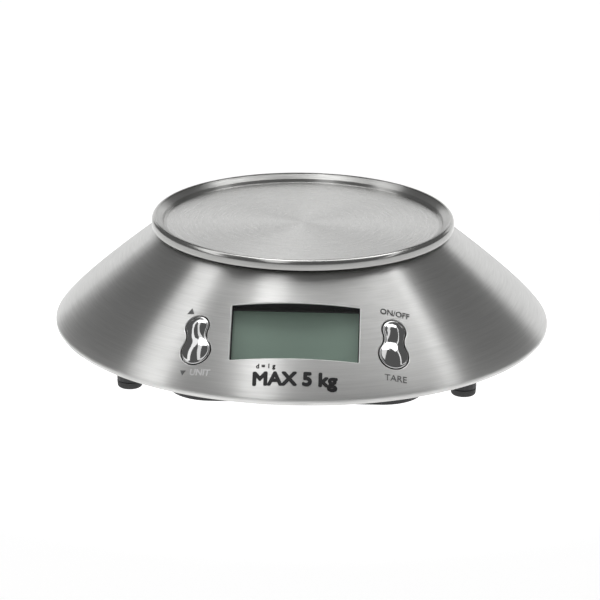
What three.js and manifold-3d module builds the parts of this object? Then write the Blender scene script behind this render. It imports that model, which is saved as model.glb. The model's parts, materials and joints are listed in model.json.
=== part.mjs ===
// A domed kitchen scale: a spun steel cover on a plastic base, a dished steel weighing plate carried
// by a load cell, a display window in the front slope and a two-way rocker key on each side of it.
// Millimetres. The origin is on the table under the middle of the scale, +Z is up, the front is -Y.
import * as THREE from 'three';
import { mergeVertices } from 'three/addons/utils/BufferGeometryUtils.js';
import Module from 'manifold-3d';

const wasm = await Module();
wasm.setup();

// ---- Driving dimensions -------------------------------------------------------------------------
// Cover
const bodyRadius = 120;
const bodyTop = 65.5; // top of the plate's rim
const rimHeight = 12; // underside of the steel rim
const steel = 0.8;
const rimRoll = 2.2; // outer radius of the rolled rim
const hemWidth = 4; // flat hem turned in under the rim
const skirtLean = 11.6; // degrees steeper than the chord at the rim
const shoulderLean = 4.4; // degrees flatter than the chord at the shoulder
const shoulderRadius = 72; // where the slope meets the shoulder's fold
const shoulderFold = 3;
const openingRadius = 58; // hole in the cover for the plate's carrier
const openingLip = 4;

// Weighing plate and what carries it
const plateRadius = 73.2;
const plateSkirt = 4.8;
const plateDish = 3.9; // how far the floor lies below the rim
const plateSlopeWidth = 4.7; // run of the sloping wall round the floor
const plateRimWidth = 1.2;
const shoulderToPlate = 2.3; // air between the shoulder and the underside of the plate's floor
const tapeThickness = 0.6;
const carrierRadius = 55;
const carrierThickness = 2.2;
const carrierRib = 6;

// Display, in the front slope
const consoleHeight = 39.5; // centre of the display and keys above the table
const windowWidth = 58.5;
const windowHeight = 29;
const lensLeastDepth = 4.8; // below the display's plane, and more where the cover curves away
const lensThickness = 1.5;
const lcdBelowLens = 3.3;
const lcdThickness = 2.8;
const lcdWidth = 60.6;
const lcdHeight = 33;
const stripHeight = 2.5;
const boardThickness = 1.6;
const bezelWall = 1.3;
const bezelAbove = 9; // room above the glass for the board's screws

// Rocker keys
const keyBeside = 15.85; // from the window's edge to a key's middle
const keyDrop = 2.2; // how far down the slope from the display's middle
const keyLowerRadius = 6.9;
const keyUpperRadius = 5.5;
const keyLobeDistance = 12.9;
const keyWaist = 4.6; // half width
const keyProud = 1.6;
const keyEdge = 1.1; // rounding round the cap
const keyTilt = 3.5; // degrees each way
const keyHoleGap = 0.5;
const keyFlange = 0.9;
const cradleWall = 1.3;
const cradleDepth = 8;
const axleRadius = 1;
const axleDepth = 5;
const switchSide = 5.2;

// Base, posts and feet
const wellBottom = 3;
const wellHalfWidth = 59;
const wellCorner = 19.5;
const wellSetback = 21.5; // from the flange's edge to the well's front wall
const wellRearSetback = 36;
const plastic = 2.2;
const flangeThick = 2.5;
const postCircle = 65;
const postRadius = 4.5;
const ringThickness = 2.5;
const ringWidth = 9;
const footRadius = 6;
const footHeight = 3.4;
const footInset = 10.4; // from the flange's edge to a foot's centre
const footAngle = 40.6; // degrees from the X axis
const footSpigotRadius = 2.4;
const footSpigotLength = 4;

// Load cell
const cellLength = 80;
const cellSide = 12.7;
const cellPlinth = 2.3; // boss under the fixed end
const cellSpacer = 2.2;
const cellScrewPitch = 10;
const cellScrewInset = 5; // from the bar's end to its first screw
const carrierColumnFloor = 3;

// Batteries
const batteryRadius = 5.25;
const batteryLength = 44.5;
const batteryPitch = 11.2;
const springLength = 5;
const doorNub = 1.5;

// Screws
const caseScrewRadius = 1.5;
const caseScrewHead = 2.9;
const cellScrewRadius = 2;
const cellScrewHead = 3.4;
const boardScrewRadius = 1;
const boardScrewHead = 2.1;
const screwHeadHeight = 2;

// Clearances
const gap = 0.3; // between pieces that touch
const slip = 0.6; // between the flange and the hem

const roundSteps = 48;
const keyArcSteps = 5; // along each arc of a key's outline

// ---- Finishes -----------------------------------------------------------------------------------
function finish(color, roughness, metalness) {
  return new THREE.MeshStandardMaterial({ color, roughness, metalness });
}

const finishes = {
  brushedSteel: finish(0xb9bab8, 0.32, 1),
  chrome: finish(0xe4e6e8, 0.08, 1),
  plainSteel: finish(0x9a9c9e, 0.4, 1),
  aluminium: finish(0xc3c6c9, 0.38, 1),
  nickel: finish(0xc9c6bd, 0.3, 1),
  blackPlastic: finish(0x17181a, 0.55, 0),
  rubber: finish(0x101113, 0.85, 0),
  clear: finish(0xdfe6e2, 0.05, 0),
  lcdGlass: finish(0x5f7364, 0.25, 0),
  circuitBoard: finish(0x2c6b45, 0.5, 0),
  brass: finish(0xc2a25c, 0.35, 1),
  foam: finish(0xe9e6dc, 0.8, 0),
  silicone: finish(0xf1f1ee, 0.6, 0),
  silver: finish(0xb6b8bb, 0.3, 1),
  leadJacket: finish(0x8d2320, 0.5, 0),
  batteryJacket: finish(0x3a6fa5, 0.35, 0),
};

// ---- Shape helpers ------------------------------------------------------------------------------
// A closed geometry as a solid that can be joined and cut.
function toSolid(geometry) {
  const bare = geometry.clone();
  bare.deleteAttribute('normal');
  bare.deleteAttribute('uv');
  const merged = mergeVertices(bare, 1e-4);
  const corners = merged.index.array;
  const kept = [];
  for (let i = 0; i < corners.length; i += 3) {
    const [a, b, c] = [corners[i], corners[i + 1], corners[i + 2]];
    if (a !== b && b !== c && c !== a) kept.push(a, b, c);
  }
  return new wasm.Manifold(new wasm.Mesh({
    numProp: 3,
    vertProperties: new Float32Array(merged.attributes.position.array),
    triVerts: new Uint32Array(kept),
  }));
}

function toGeometry(solid) {
  const mesh = solid.getMesh();
  const geometry = new THREE.BufferGeometry();
  geometry.setAttribute('position', new THREE.BufferAttribute(mesh.vertProperties, 3));
  geometry.setIndex(new THREE.BufferAttribute(mesh.triVerts, 1));
  geometry.computeVertexNormals();
  return geometry;
}

function join(first, ...others) {
  return others.reduce((sum, other) => sum.add(other), first);
}

function cut(first, ...others) {
  return others.reduce((rest, other) => rest.subtract(other), first);
}

// A shape drawn on XY as a slab between two heights.
function slab(shape, low, high, curveSegments = 12) {
  const options = { depth: high - low, bevelEnabled: false, curveSegments };
  return toSolid(new THREE.ExtrudeGeometry(shape, options).translate(0, 0, low));
}

function rectangle(width, height, x = 0, y = 0) {
  const shape = new THREE.Shape();
  shape.moveTo(x - width / 2, y - height / 2);
  shape.lineTo(x + width / 2, y - height / 2);
  shape.lineTo(x + width / 2, y + height / 2);
  shape.lineTo(x - width / 2, y + height / 2);
  shape.closePath();
  return shape;
}

function roundedRectangle(width, height, corner, x = 0, y = 0) {
  const [w, h] = [width / 2 - corner, height / 2 - corner];
  const shape = new THREE.Shape();
  shape.absarc(x + w, y + h, corner, 0, Math.PI / 2, false);
  shape.absarc(x - w, y + h, corner, Math.PI / 2, Math.PI, false);
  shape.absarc(x - w, y - h, corner, Math.PI, Math.PI * 1.5, false);
  shape.absarc(x + w, y - h, corner, Math.PI * 1.5, Math.PI * 2, false);
  shape.closePath();
  return shape;
}

function box(width, depth, low, high, x = 0, y = 0) {
  return slab(rectangle(width, depth, x, y), low, high);
}

function disc(radius, low, high, x = 0, y = 0, steps = 12) {
  const geometry = new THREE.CylinderGeometry(radius, radius, high - low, steps);
  return toSolid(geometry.rotateX(Math.PI / 2).translate(x, y, (low + high) / 2));
}

// A rod along X.
function rod(radius, left, right, y, z, steps = 12) {
  const geometry = new THREE.CylinderGeometry(radius, radius, right - left, steps);
  return toSolid(geometry.rotateZ(Math.PI / 2).translate((left + right) / 2, y, z));
}

// A profile of [radius, height] points turned round Z. It runs up its outer side, so that faces
// point out, and it starts and ends on the axis or closes on itself.
function turned(points, steps = roundSteps) {
  const profile = points.map(([r, z]) => new THREE.Vector2(r, z));
  return toSolid(new THREE.LatheGeometry(profile, steps).rotateX(Math.PI / 2));
}

function ring(inner, outer, low, high, steps = roundSteps) {
  return turned([[inner, low], [outer, low], [outer, high], [inner, high], [inner, low]], steps);
}

// A wire of round section through a list of points.
function wire(points, radius, steps, sides = 8) {
  const path = new THREE.CatmullRomCurve3(points.map((p) => new THREE.Vector3(...p)));
  const section = new THREE.Shape();
  for (let i = 0; i < sides; i += 1) {
    const turn = (i / sides) * Math.PI * 2;
    const corner = [radius * Math.cos(turn), radius * Math.sin(turn)];
    if (i === 0) section.moveTo(...corner);
    else section.lineTo(...corner);
  }
  section.closePath();
  return toSolid(new THREE.ExtrudeGeometry(section, { steps, extrudePath: path }));
}

const scale = new THREE.Group();

function place(parent, name, solid, material) {
  const mesh = new THREE.Mesh(toGeometry(solid), material);
  mesh.name = name;
  parent.add(mesh);
  return mesh;
}

// ---- Heights that follow from the driving dimensions --------------------------------------------
const degrees = Math.PI / 180;
const plateFloorTop = bodyTop - plateDish;
const plateFloorBottom = plateFloorTop - steel;
const shoulderHeight = plateFloorBottom - shoulderToPlate;
const hemRadius = bodyRadius - rimRoll - hemWidth;
const flangeRadius = hemRadius - slip;
const flangeBottom = rimHeight + 0.5;
const flangeTop = flangeBottom + flangeThick;
const wellFloor = wellBottom + plastic;
const wellFront = -(flangeRadius - wellSetback);
const wellRear = flangeRadius - wellRearSetback;
const ringTop = shoulderHeight - steel - gap - tapeThickness - gap;
const ringBottom = ringTop - ringThickness;
const carrierTop = plateFloorBottom - gap - tapeThickness - gap;
const carrierBottom = carrierTop - carrierThickness;
const cellPlinthTop = wellFloor + cellPlinth;
const cellSpacerTop = cellPlinthTop + gap + cellSpacer;
const cellBottom = cellSpacerTop + gap;
const cellTop = cellBottom + cellSide;
const carrierFoot = cellTop + gap + cellSpacer + gap;

// ---- The cover's outer curve --------------------------------------------------------------------
// A quadratic curve from the rim's roll up to the shoulder's fold. Both ends' slopes are set by
// how far they lean from the chord.
function makeCoverCurve() {
  const rise = shoulderHeight - (rimHeight + rimRoll);
  const chord = Math.atan2(rise, bodyRadius - shoulderRadius);
  const skirtSlope = chord + skirtLean * degrees;
  const shoulderSlope = chord - shoulderLean * degrees;
  const foldDrop = shoulderFold * (1 - Math.cos(shoulderSlope));
  const start = new THREE.Vector2(
    bodyRadius - rimRoll + rimRoll * Math.sin(skirtSlope),
    rimHeight + rimRoll + rimRoll * Math.cos(skirtSlope),
  );
  const end = new THREE.Vector2(shoulderRadius, shoulderHeight - foldDrop);
  // The control point is where the two end tangents cross.
  const lower = new THREE.Vector2(-Math.cos(skirtSlope), Math.sin(skirtSlope));
  const upper = new THREE.Vector2(Math.cos(shoulderSlope), -Math.sin(shoulderSlope));
  const across = end.clone().sub(start);
  const along = across.cross(upper) / lower.cross(upper);
  const control = start.clone().addScaledVector(lower, along);
  return { curve: new THREE.QuadraticBezierCurve(start, control, end), skirtSlope, shoulderSlope };
}

const cover = makeCoverCurve();

// Height and slope of the cover's outer face at a radius, by halving.
function coverAt(radius) {
  let [low, high] = [0, 1];
  for (let i = 0; i < 40; i += 1) {
    const middle = (low + high) / 2;
    if (cover.curve.getPoint(middle).x > radius) low = middle;
    else high = middle;
  }
  const tangent = cover.curve.getTangent(low);
  return { z: cover.curve.getPoint(low).y, slope: Math.atan2(tangent.y, -tangent.x) };
}

function coverRadiusAt(height) {
  let [low, high] = [shoulderRadius, bodyRadius];
  for (let i = 0; i < 40; i += 1) {
    const middle = (low + high) / 2;
    if (coverAt(middle).z > height) low = middle;
    else high = middle;
  }
  return low;
}

// The cover's profile, set in from its outer face by a depth, from the hem's roll to the shoulder.
function coverProfile(depth, rollSteps, curveSteps, foldSteps) {
  const points = [];
  const rollRadius = rimRoll - depth;
  for (let i = 0; i <= rollSteps; i += 1) {
    const turn = (i / rollSteps - 1) * Math.PI / 2;
    points.push([
      bodyRadius - rimRoll + rollRadius * Math.cos(turn), rimHeight + rimRoll + rollRadius * Math.sin(turn),
    ]);
  }
  for (let i = 0; i <= curveSteps; i += 1) {
    const point = cover.curve.getPoint(i / curveSteps);
    const tangent = cover.curve.getTangent(i / curveSteps);
    points.push([point.x - depth * tangent.y, point.y + depth * tangent.x]);
  }
  const foldRadius = shoulderFold - depth;
  const foldCentreX = shoulderRadius - shoulderFold * Math.sin(cover.shoulderSlope);
  for (let i = 1; i <= foldSteps; i += 1) {
    const turn = (1 - i / foldSteps) * cover.shoulderSlope;
    const height = shoulderHeight - shoulderFold + foldRadius * Math.cos(turn);
    points.push([foldCentreX + foldRadius * Math.sin(turn), height]);
  }
  return points;
}

// The space inside the steel, less the gap: what stands behind the cover is trimmed by it.
function coverInterior() {
  const inner = coverProfile(steel + gap, 2, 6, 1);
  const [bottomRadius, topHeight] = [inner[0][0], inner[inner.length - 1][1]];
  const start = [[0, rimHeight - 1], [bottomRadius, rimHeight - 1]];
  return turned([...start, ...inner, [0, topHeight]]);
}

// ---- Frames of the display and keys -------------------------------------------------------------
const keySpacing = windowWidth / 2 + keyBeside;
const consoleRadius = coverRadiusAt(consoleHeight);
const consoleSlope = coverAt(consoleRadius).slope;

// X to the right, Y up the slope, Z out of the cover.
const consoleGroup = new THREE.Group();
consoleGroup.position.set(0, -consoleRadius, consoleHeight);
consoleGroup.rotation.x = consoleSlope;
consoleGroup.updateMatrix();
scale.add(consoleGroup);

// How far the cover lies below a point of the console's plane, by halving.
function coverDrop(x, y) {
  let [near, far] = [0, 30];
  for (let i = 0; i < 40; i += 1) {
    const middle = (near + far) / 2;
    const point = new THREE.Vector3(x, y, -middle).applyMatrix4(consoleGroup.matrix);
    const radius = Math.hypot(point.x, point.y);
    const outside = radius > bodyRadius - rimRoll || point.z > coverAt(radius).z;
    if (outside) near = middle;
    else far = middle;
  }
  return near;
}

// The flat lens clears the cover's curved inner face at the window's far corners.
const lensDepth = Math.max(
  lensLeastDepth, coverDrop(windowWidth / 2 + 1, -windowHeight / 2 - 1) + steel + 2 * gap,
);
const lcdDepth = lensDepth + lcdBelowLens;

// A key's frame: Z out of the cover at the key, Y as near up the slope as that allows.
function makeKeyGroup(side) {
  const drop = coverDrop(keySpacing, -keyDrop);
  const spot = new THREE.Vector3(side * keySpacing, -keyDrop, -drop).applyMatrix4(consoleGroup.matrix);
  const radius = Math.hypot(spot.x, spot.y);
  const { slope } = coverAt(radius);
  const outward = new THREE.Vector3(
    (spot.x / radius) * Math.sin(slope), (spot.y / radius) * Math.sin(slope), Math.cos(slope),
  );
  const upSlope = new THREE.Vector3(0, Math.cos(consoleSlope), Math.sin(consoleSlope));
  const across = new THREE.Vector3().crossVectors(upSlope, outward).normalize();
  const up = new THREE.Vector3().crossVectors(outward, across);
  const group = new THREE.Group();
  group.position.copy(spot);
  group.setRotationFromMatrix(new THREE.Matrix4().makeBasis(across, up, outward));
  group.updateMatrix();
  scale.add(group);
  return group;
}

const keySides = [
  { name: 'left', side: -1, group: makeKeyGroup(-1) },
  { name: 'right', side: 1, group: makeKeyGroup(1) },
];

function inFrame(solid, group) {
  return toSolid(toGeometry(solid).applyMatrix4(group.matrix));
}

function fromFrame(solid, group) {
  return toSolid(toGeometry(solid).applyMatrix4(group.matrix.clone().invert()));
}

// ---- Figure of eight --------------------------------------------------------------------------
// Two lobes joined by hollow arcs that touch both of them and leave the waist between them.
// The key's middle is at the origin.
const figure = (() => {
  const [a, b, d, w] = [keyLowerRadius, keyUpperRadius, keyLobeDistance, keyWaist];
  // The hollow arc's centre is (w + r, y) above the lower lobe's: two distance equations give r.
  const base = (a * a - b * b + d * d) / (2 * d);
  const slope = (a - b) / d;
  const quadratic = slope * slope;
  const linear = 2 * base * slope - 2 * (a - w);
  const constant = base * base - (a * a - w * w);
  const root = Math.sqrt(linear * linear - 4 * quadratic * constant);
  const hollow = quadratic < 1e-9 ? -constant / linear : (-linear - root) / (2 * quadratic);
  const lowerY = -(a + d + b) / 2 + a;
  return {
    hollow, lowerY, upperY: lowerY + d, waistY: lowerY + base + slope * hollow, centreX: w + hollow,
  };
})();

function figureEight(offset) {
  const { hollow, lowerY, upperY, waistY, centreX } = figure;
  const lowTurn = Math.atan2(waistY - lowerY, centreX);
  const highTurn = Math.atan2(upperY - waistY, centreX);
  const shape = new THREE.Shape();
  shape.absarc(0, lowerY, keyLowerRadius + offset, Math.PI - lowTurn, lowTurn + Math.PI * 2, false);
  shape.absarc(centreX, waistY, hollow - offset, Math.PI + lowTurn, Math.PI - highTurn, true);
  shape.absarc(0, upperY, keyUpperRadius + offset, -highTurn, Math.PI + highTurn, false);
  shape.absarc(-centreX, waistY, hollow - offset, highTurn, -lowTurn, true);
  shape.closePath();
  return shape;
}

// ---- Cover --------------------------------------------------------------------------------------
function makeCover() {
  const [rollSteps, curveSteps, foldSteps] = [2, 6, 1];
  const outer = coverProfile(0, rollSteps, curveSteps, foldSteps);
  const inner = coverProfile(steel, rollSteps, curveSteps, foldSteps).reverse();
  const lipBottom = shoulderHeight - openingLip;
  const lip = [
    [openingRadius + steel, shoulderHeight], [openingRadius, shoulderHeight - steel],
    [openingRadius, lipBottom], [openingRadius + steel, lipBottom],
    [openingRadius + steel, shoulderHeight - steel],
  ];
  const hem = [[hemRadius, rimHeight + steel], [hemRadius, rimHeight]];
  const shell = turned([...outer, ...lip, ...inner, ...hem, outer[0]]);
  const opening = box(windowWidth, windowHeight, -6, 6);
  const keyHole = slab(figureEight(keyHoleGap), -4, 4, keyArcSteps);
  const holes = keySides.map(({ group }) => inFrame(keyHole, group));
  return cut(shell, inFrame(opening, consoleGroup), ...holes);
}

// ---- Weighing plate and carrier -----------------------------------------------------------------
const plateFloorRadius = plateRadius - plateRimWidth - plateSlopeWidth;

function makePlate() {
  const slopeTop = plateRadius - plateRimWidth;
  const skirtBottom = bodyTop - plateSkirt;
  return turned([
    [0, plateFloorBottom], [plateFloorRadius, plateFloorBottom],
    [slopeTop - 0.2, bodyTop - steel - 0.3], [plateRadius - steel, bodyTop - steel - 0.4],
    [plateRadius - steel, skirtBottom], [plateRadius, skirtBottom],
    [plateRadius, bodyTop - 0.6], [plateRadius - 0.5, bodyTop],
    [slopeTop, bodyTop - 0.1], [plateFloorRadius, plateFloorTop], [0, plateFloorTop],
  ]);
}

// Where the screws pass through each end of the load cell.
function cellScrewPlaces(side) {
  const first = cellLength / 2 - cellScrewInset;
  return [side * first, side * (first - cellScrewPitch)];
}

const cellEndMiddle = cellLength / 2 - cellScrewInset - cellScrewPitch / 2;

function makeCarrier() {
  const [columnWidth, columnDepth, wall] = [24, 18, 2];
  const column = box(columnWidth, columnDepth, carrierFoot, carrierBottom + 1, cellEndMiddle);
  const hollow = box(
    columnWidth - 2 * wall, columnDepth - 2 * wall,
    carrierFoot + carrierColumnFloor, carrierTop + 1, cellEndMiddle,
  );
  const ribLength = 2 * (carrierRadius - 4);
  const ribs = [0, 1].map((turn) => {
    const rib = turn === 0 ? [ribLength, wall] : [wall, ribLength];
    return box(...rib, carrierBottom - carrierRib, carrierBottom + 1);
  });
  const bores = cellScrewPlaces(1)
    .map((x) => disc(cellScrewRadius + gap, carrierFoot - 1, carrierTop, x));
  const top = disc(carrierRadius, carrierBottom, carrierTop, 0, 0, roundSteps);
  return cut(join(top, column, ...ribs), hollow, ...bores);
}

function addPlatform() {
  place(scale, 'weighing_plate', makePlate(), finishes.brushedSteel);
  const tapeBottom = carrierTop + gap;
  const tape = ring(carrierRadius - 12, carrierRadius - 2, tapeBottom, tapeBottom + tapeThickness, 24);
  place(scale, 'plate_tape_ring', tape, finishes.foam);
  place(scale, 'plate_carrier', makeCarrier(), finishes.blackPlastic);
  const spacer = box(19, cellSide, cellTop + gap, cellTop + gap + cellSpacer, cellEndMiddle);
  const holes = cellScrewPlaces(1).map((x) => disc(cellScrewRadius + gap, cellTop, carrierFoot, x));
  place(scale, 'upper_cell_spacer', cut(spacer, ...holes), finishes.plainSteel);
  cellScrewPlaces(1).forEach((x, i) => {
    const seat = carrierFoot + carrierColumnFloor + gap;
    const head = disc(cellScrewHead, seat, seat + screwHeadHeight, x);
    const shaft = disc(cellScrewRadius, cellTop - cellSide * 0.6, seat + 0.5, x);
    place(scale, `upper_cell_screw_${i + 1}`, join(head, shaft), finishes.plainSteel);
  });
}

// ---- Load cell ----------------------------------------------------------------------------------
function addLoadCell() {
  const middle = (cellBottom + cellTop) / 2;
  const [eyeRadius, eyeOffset, slotHeight] = [4.2, 7, 3.4];
  const eye = (x) => {
    const geometry = new THREE.CylinderGeometry(eyeRadius, eyeRadius, cellSide + 2, 20);
    return toSolid(geometry.translate(x, 0, middle));
  };
  const slot = box(2 * eyeOffset, cellSide + 2, middle - slotHeight / 2, middle + slotHeight / 2);
  const bores = [-1, 1].flatMap((side) => cellScrewPlaces(side)
    .map((x) => disc(cellScrewRadius + gap, cellBottom - 1, cellTop + 1, x)));
  const bar = box(cellLength, cellSide, cellBottom, cellTop);
  place(scale, 'load_cell', cut(bar, eye(-eyeOffset), eye(eyeOffset), slot, ...bores), finishes.aluminium);

  const sealShape = roundedRectangle(24, cellSide - 2, 3);
  const sealThickness = 1.4;
  const topSeal = slab(sealShape, cellTop + gap, cellTop + gap + sealThickness, 4);
  const bottomSeal = slab(sealShape, cellBottom - gap - sealThickness, cellBottom - gap, 4);
  place(scale, 'gauge_sealant_top', topSeal, finishes.silicone);
  place(scale, 'gauge_sealant_bottom', bottomSeal, finishes.silicone);

  const spacer = box(19, cellSide, cellPlinthTop + gap, cellSpacerTop, -cellEndMiddle);
  const holes = cellScrewPlaces(-1).map((x) => disc(cellScrewRadius + gap, cellPlinthTop, cellBottom, x));
  place(scale, 'lower_cell_spacer', cut(spacer, ...holes), finishes.plainSteel);
  cellScrewPlaces(-1).forEach((x, i) => {
    const head = disc(cellScrewHead, wellBottom + gap, wellBottom + gap + screwHeadHeight, x);
    const shaft = disc(cellScrewRadius, wellBottom + 1, cellBottom + cellSide * 0.6, x);
    place(scale, `lower_cell_screw_${i + 1}`, join(head, shaft), finishes.plainSteel);
  });
  const stop = disc(2.2, cellPlinthTop + gap, cellBottom - 0.5, cellEndMiddle);
  place(scale, 'overload_stop', stop, finishes.brass);
}

// ---- Base ---------------------------------------------------------------------------------------
const postPlaces = [[1, 1], [-1, 1], [-1, -1], [1, -1]]
  .map(([x, y]) => [x * postCircle * Math.SQRT1_2, y * postCircle * Math.SQRT1_2]);
const footCircle = flangeRadius - footInset;
const footPlaces = {
  front_left: [-1, -1], front_right: [1, -1], rear_left: [-1, 1], rear_right: [1, 1],
};
const footPlace = ([x, y]) => [
  x * footCircle * Math.cos(footAngle * degrees), y * footCircle * Math.sin(footAngle * degrees),
];
const postBossTop = wellFloor + 7;
const contactThickness = 0.5;
const bayHalfLength = (batteryLength + springLength + 2 * gap) / 2 + contactThickness + gap;
const bayHalfDepth = batteryPitch / 2 + batteryRadius + gap + 0.2;
const bayY = wellRear - plastic - 3 - bayHalfDepth;
const bayWall = 1.5;
const batteryHeight = wellFloor + gap + batteryRadius;
const bayRoof = batteryHeight + batteryRadius + gap;

// The underside is open to the batteries; the door fills the well's floor there.
function makeBase() {
  const wellShape = (inset) => roundedRectangle(
    2 * (wellHalfWidth - inset), wellRear - wellFront - 2 * inset, wellCorner - inset,
    0, (wellRear + wellFront) / 2,
  );
  const flange = disc(flangeRadius, flangeBottom, flangeTop, 0, 0, roundSteps);
  const well = slab(wellShape(0), wellBottom, flangeTop, 8);
  const hollow = slab(wellShape(plastic), wellFloor, flangeTop + 1, 8);
  const shell = cut(join(flange, well), hollow);

  const bosses = postPlaces.map(([x, y]) => disc(postRadius, wellBottom + 1, postBossTop, x, y));
  const feet = Object.values(footPlaces).map((corner) => {
    const [x, y] = footPlace(corner);
    return disc(footRadius, footHeight + gap, flangeBottom + 1, x, y, 16);
  });
  const plinth = box(20, cellSide + 4, wellFloor - 1, cellPlinthTop, -cellEndMiddle);
  const stopPlinth = box(10, 10, wellFloor - 1, cellPlinthTop, cellEndMiddle);
  const [bayOuterX, bayOuterY] = [2 * (bayHalfLength + bayWall), 2 * (bayHalfDepth + bayWall)];
  const bay = box(bayOuterX, bayOuterY, wellBottom, bayRoof + bayWall, 0, bayY);
  const bayHollow = box(2 * bayHalfLength, 2 * bayHalfDepth, wellBottom - 1, bayRoof, 0, bayY);

  const postBores = postPlaces.flatMap(([x, y]) => [
    disc(caseScrewRadius + gap, wellBottom - 1, postBossTop + 1, x, y),
    disc(caseScrewHead + gap, wellBottom - 1, wellBottom + screwHeadHeight + 2 * gap, x, y),
  ]);
  const footBores = Object.values(footPlaces).map((corner) => {
    const [x, y] = footPlace(corner);
    return disc(footSpigotRadius + gap, footHeight, footHeight + footSpigotLength + 0.5, x, y);
  });
  const cellBores = cellScrewPlaces(-1).flatMap((x) => [
    disc(cellScrewRadius + gap, wellBottom - 1, cellPlinthTop + 1, x),
    disc(cellScrewHead + gap, wellBottom - 1, wellBottom + screwHeadHeight + 2 * gap, x),
  ]);
  const body = join(shell, ...bosses, ...feet, plinth, stopPlinth, bay);
  return cut(body, bayHollow, ...postBores, ...footBores, ...cellBores);
}

function addBase() {
  place(scale, 'base_tub', makeBase(), finishes.blackPlastic);
  for (const [name, corner] of Object.entries(footPlaces)) {
    const [x, y] = footPlace(corner);
    const pad = new THREE.CylinderGeometry(footRadius, footRadius - 0.5, footHeight, 16);
    const foot = join(
      toSolid(pad.rotateX(Math.PI / 2).translate(x, y, footHeight / 2)),
      disc(footSpigotRadius, footHeight - 1, footHeight + footSpigotLength, x, y),
    );
    place(scale, `${name}_foot`, foot, finishes.rubber);
  }
}

// The ring under the shoulder, its four posts and the screws that pull the base up to it.
function addUpperFrame() {
  const inner = openingRadius + steel + 1.2;
  const hoop = ring(inner, inner + ringWidth, ringBottom, ringTop);
  const posts = postPlaces.map(([x, y]) => disc(postRadius, postBossTop + gap, ringBottom + 1, x, y));
  const boreDepth = 14;
  const bores = postPlaces
    .map(([x, y]) => disc(caseScrewRadius + gap, postBossTop, postBossTop + boreDepth, x, y));
  place(scale, 'upper_frame', cut(join(hoop, ...posts), ...bores), finishes.blackPlastic);
  const tape = ring(inner + 0.8, inner + ringWidth - 2, ringTop + gap, ringTop + gap + tapeThickness, 24);
  place(scale, 'cover_tape_ring', tape, finishes.foam);
  postPlaces.forEach(([x, y], i) => {
    const head = disc(caseScrewHead, wellBottom + gap, wellBottom + gap + screwHeadHeight, x, y);
    const shaft = disc(caseScrewRadius, wellBottom + 1, postBossTop + boreDepth - 1, x, y);
    place(scale, `case_screw_${i + 1}`, join(head, shaft), finishes.plainSteel);
  });
}

// ---- Display ------------------------------------------------------------------------------------
const wellOfLight = gap + 0.5; // how far the bezel's opening stands back from the steel's edge
const boardTop = -(lcdDepth + lcdThickness + gap + stripHeight + gap);
const boardBottom = boardTop - boardThickness;
const bezelBottom = boardTop + gap;
const boardScrews = [-24, 24];
const boardScrewY = lcdHeight / 2 + bezelAbove / 2 + 0.5;

function makeBezel(interior) {
  const pocketHalf = [lcdWidth / 2 + gap, lcdHeight / 2 + gap];
  const bottom = -(pocketHalf[1] + bezelWall);
  const top = pocketHalf[1] + bezelAbove;
  const outline = rectangle(2 * (pocketHalf[0] + bezelWall), top - bottom, 0, (top + bottom) / 2);
  const blank = slab(outline, bezelBottom, 3);
  const seat = -lensDepth - lensThickness - gap;
  const opening = box(windowWidth + 2 * wellOfLight, windowHeight + 2 * wellOfLight, seat, 6);
  const ledge = box(windowWidth - 1, windowHeight - 1, -lcdDepth - 1, 0);
  const pocket = box(2 * pocketHalf[0], 2 * pocketHalf[1], bezelBottom - 1, -lcdDepth + gap);
  const bores = boardScrews
    .map((x) => disc(boardScrewRadius + gap, bezelBottom - 1, bezelBottom + 5.5, x, boardScrewY));
  const relief = box(38, bezelAbove - bezelWall, bezelBottom - 1, bezelBottom + 9, 0, boardScrewY);
  return cut(blank, opening, ledge, pocket, relief, ...bores).intersect(fromFrame(interior, consoleGroup));
}

function addDisplay(interior) {
  place(consoleGroup, 'display_bezel', makeBezel(interior), finishes.blackPlastic);
  const lensMargin = 2 * (wellOfLight - gap);
  const lens = roundedRectangle(windowWidth + lensMargin, windowHeight + lensMargin, 0.8);
  const lensSlab = slab(lens, -lensDepth - lensThickness, -lensDepth, 3);
  place(consoleGroup, 'display_lens', lensSlab, finishes.clear);
  const lcd = box(lcdWidth, lcdHeight, -lcdDepth - lcdThickness, -lcdDepth);
  place(consoleGroup, 'lcd_panel', lcd, finishes.lcdGlass);
  const stripTop = -lcdDepth - lcdThickness - gap;
  for (const [name, side] of [['upper', 1], ['lower', -1]]) {
    const y = side * (lcdHeight / 2 - 2);
    const strip = box(lcdWidth - 6, 2.2, stripTop - stripHeight, stripTop, 0, y);
    place(consoleGroup, `${name}_contact_strip`, strip, finishes.silicone);
  }
  const [low, high] = [-(lcdHeight / 2 + 0.5), lcdHeight / 2 + bezelAbove];
  const board = box(lcdWidth + 2, high - low, boardBottom, boardTop, 0, (high + low) / 2);
  const holes = boardScrews
    .map((x) => disc(boardScrewRadius + gap, boardBottom - 1, boardTop + 1, x, boardScrewY));
  place(consoleGroup, 'main_board', cut(board, ...holes), finishes.circuitBoard);
  const [chipTop, chipRadius] = [boardBottom - gap, 7];
  const chip = turned([
    [0, chipTop - 2], [chipRadius * 0.6, chipTop - 1.7], [chipRadius - 0.5, chipTop - 0.8],
    [chipRadius, chipTop], [0, chipTop],
  ], 12);
  place(consoleGroup, 'controller_chip', chip, finishes.blackPlastic);
  boardScrews.forEach((x, i) => {
    const seat = boardBottom - gap;
    const head = disc(boardScrewHead, seat - 1.5, seat, x, boardScrewY);
    const shaft = disc(boardScrewRadius, seat - 0.5, bezelBottom + 4.5, x, boardScrewY);
    place(consoleGroup, `board_screw_${i + 1}`, join(head, shaft), finishes.plainSteel);
  });
}

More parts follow.
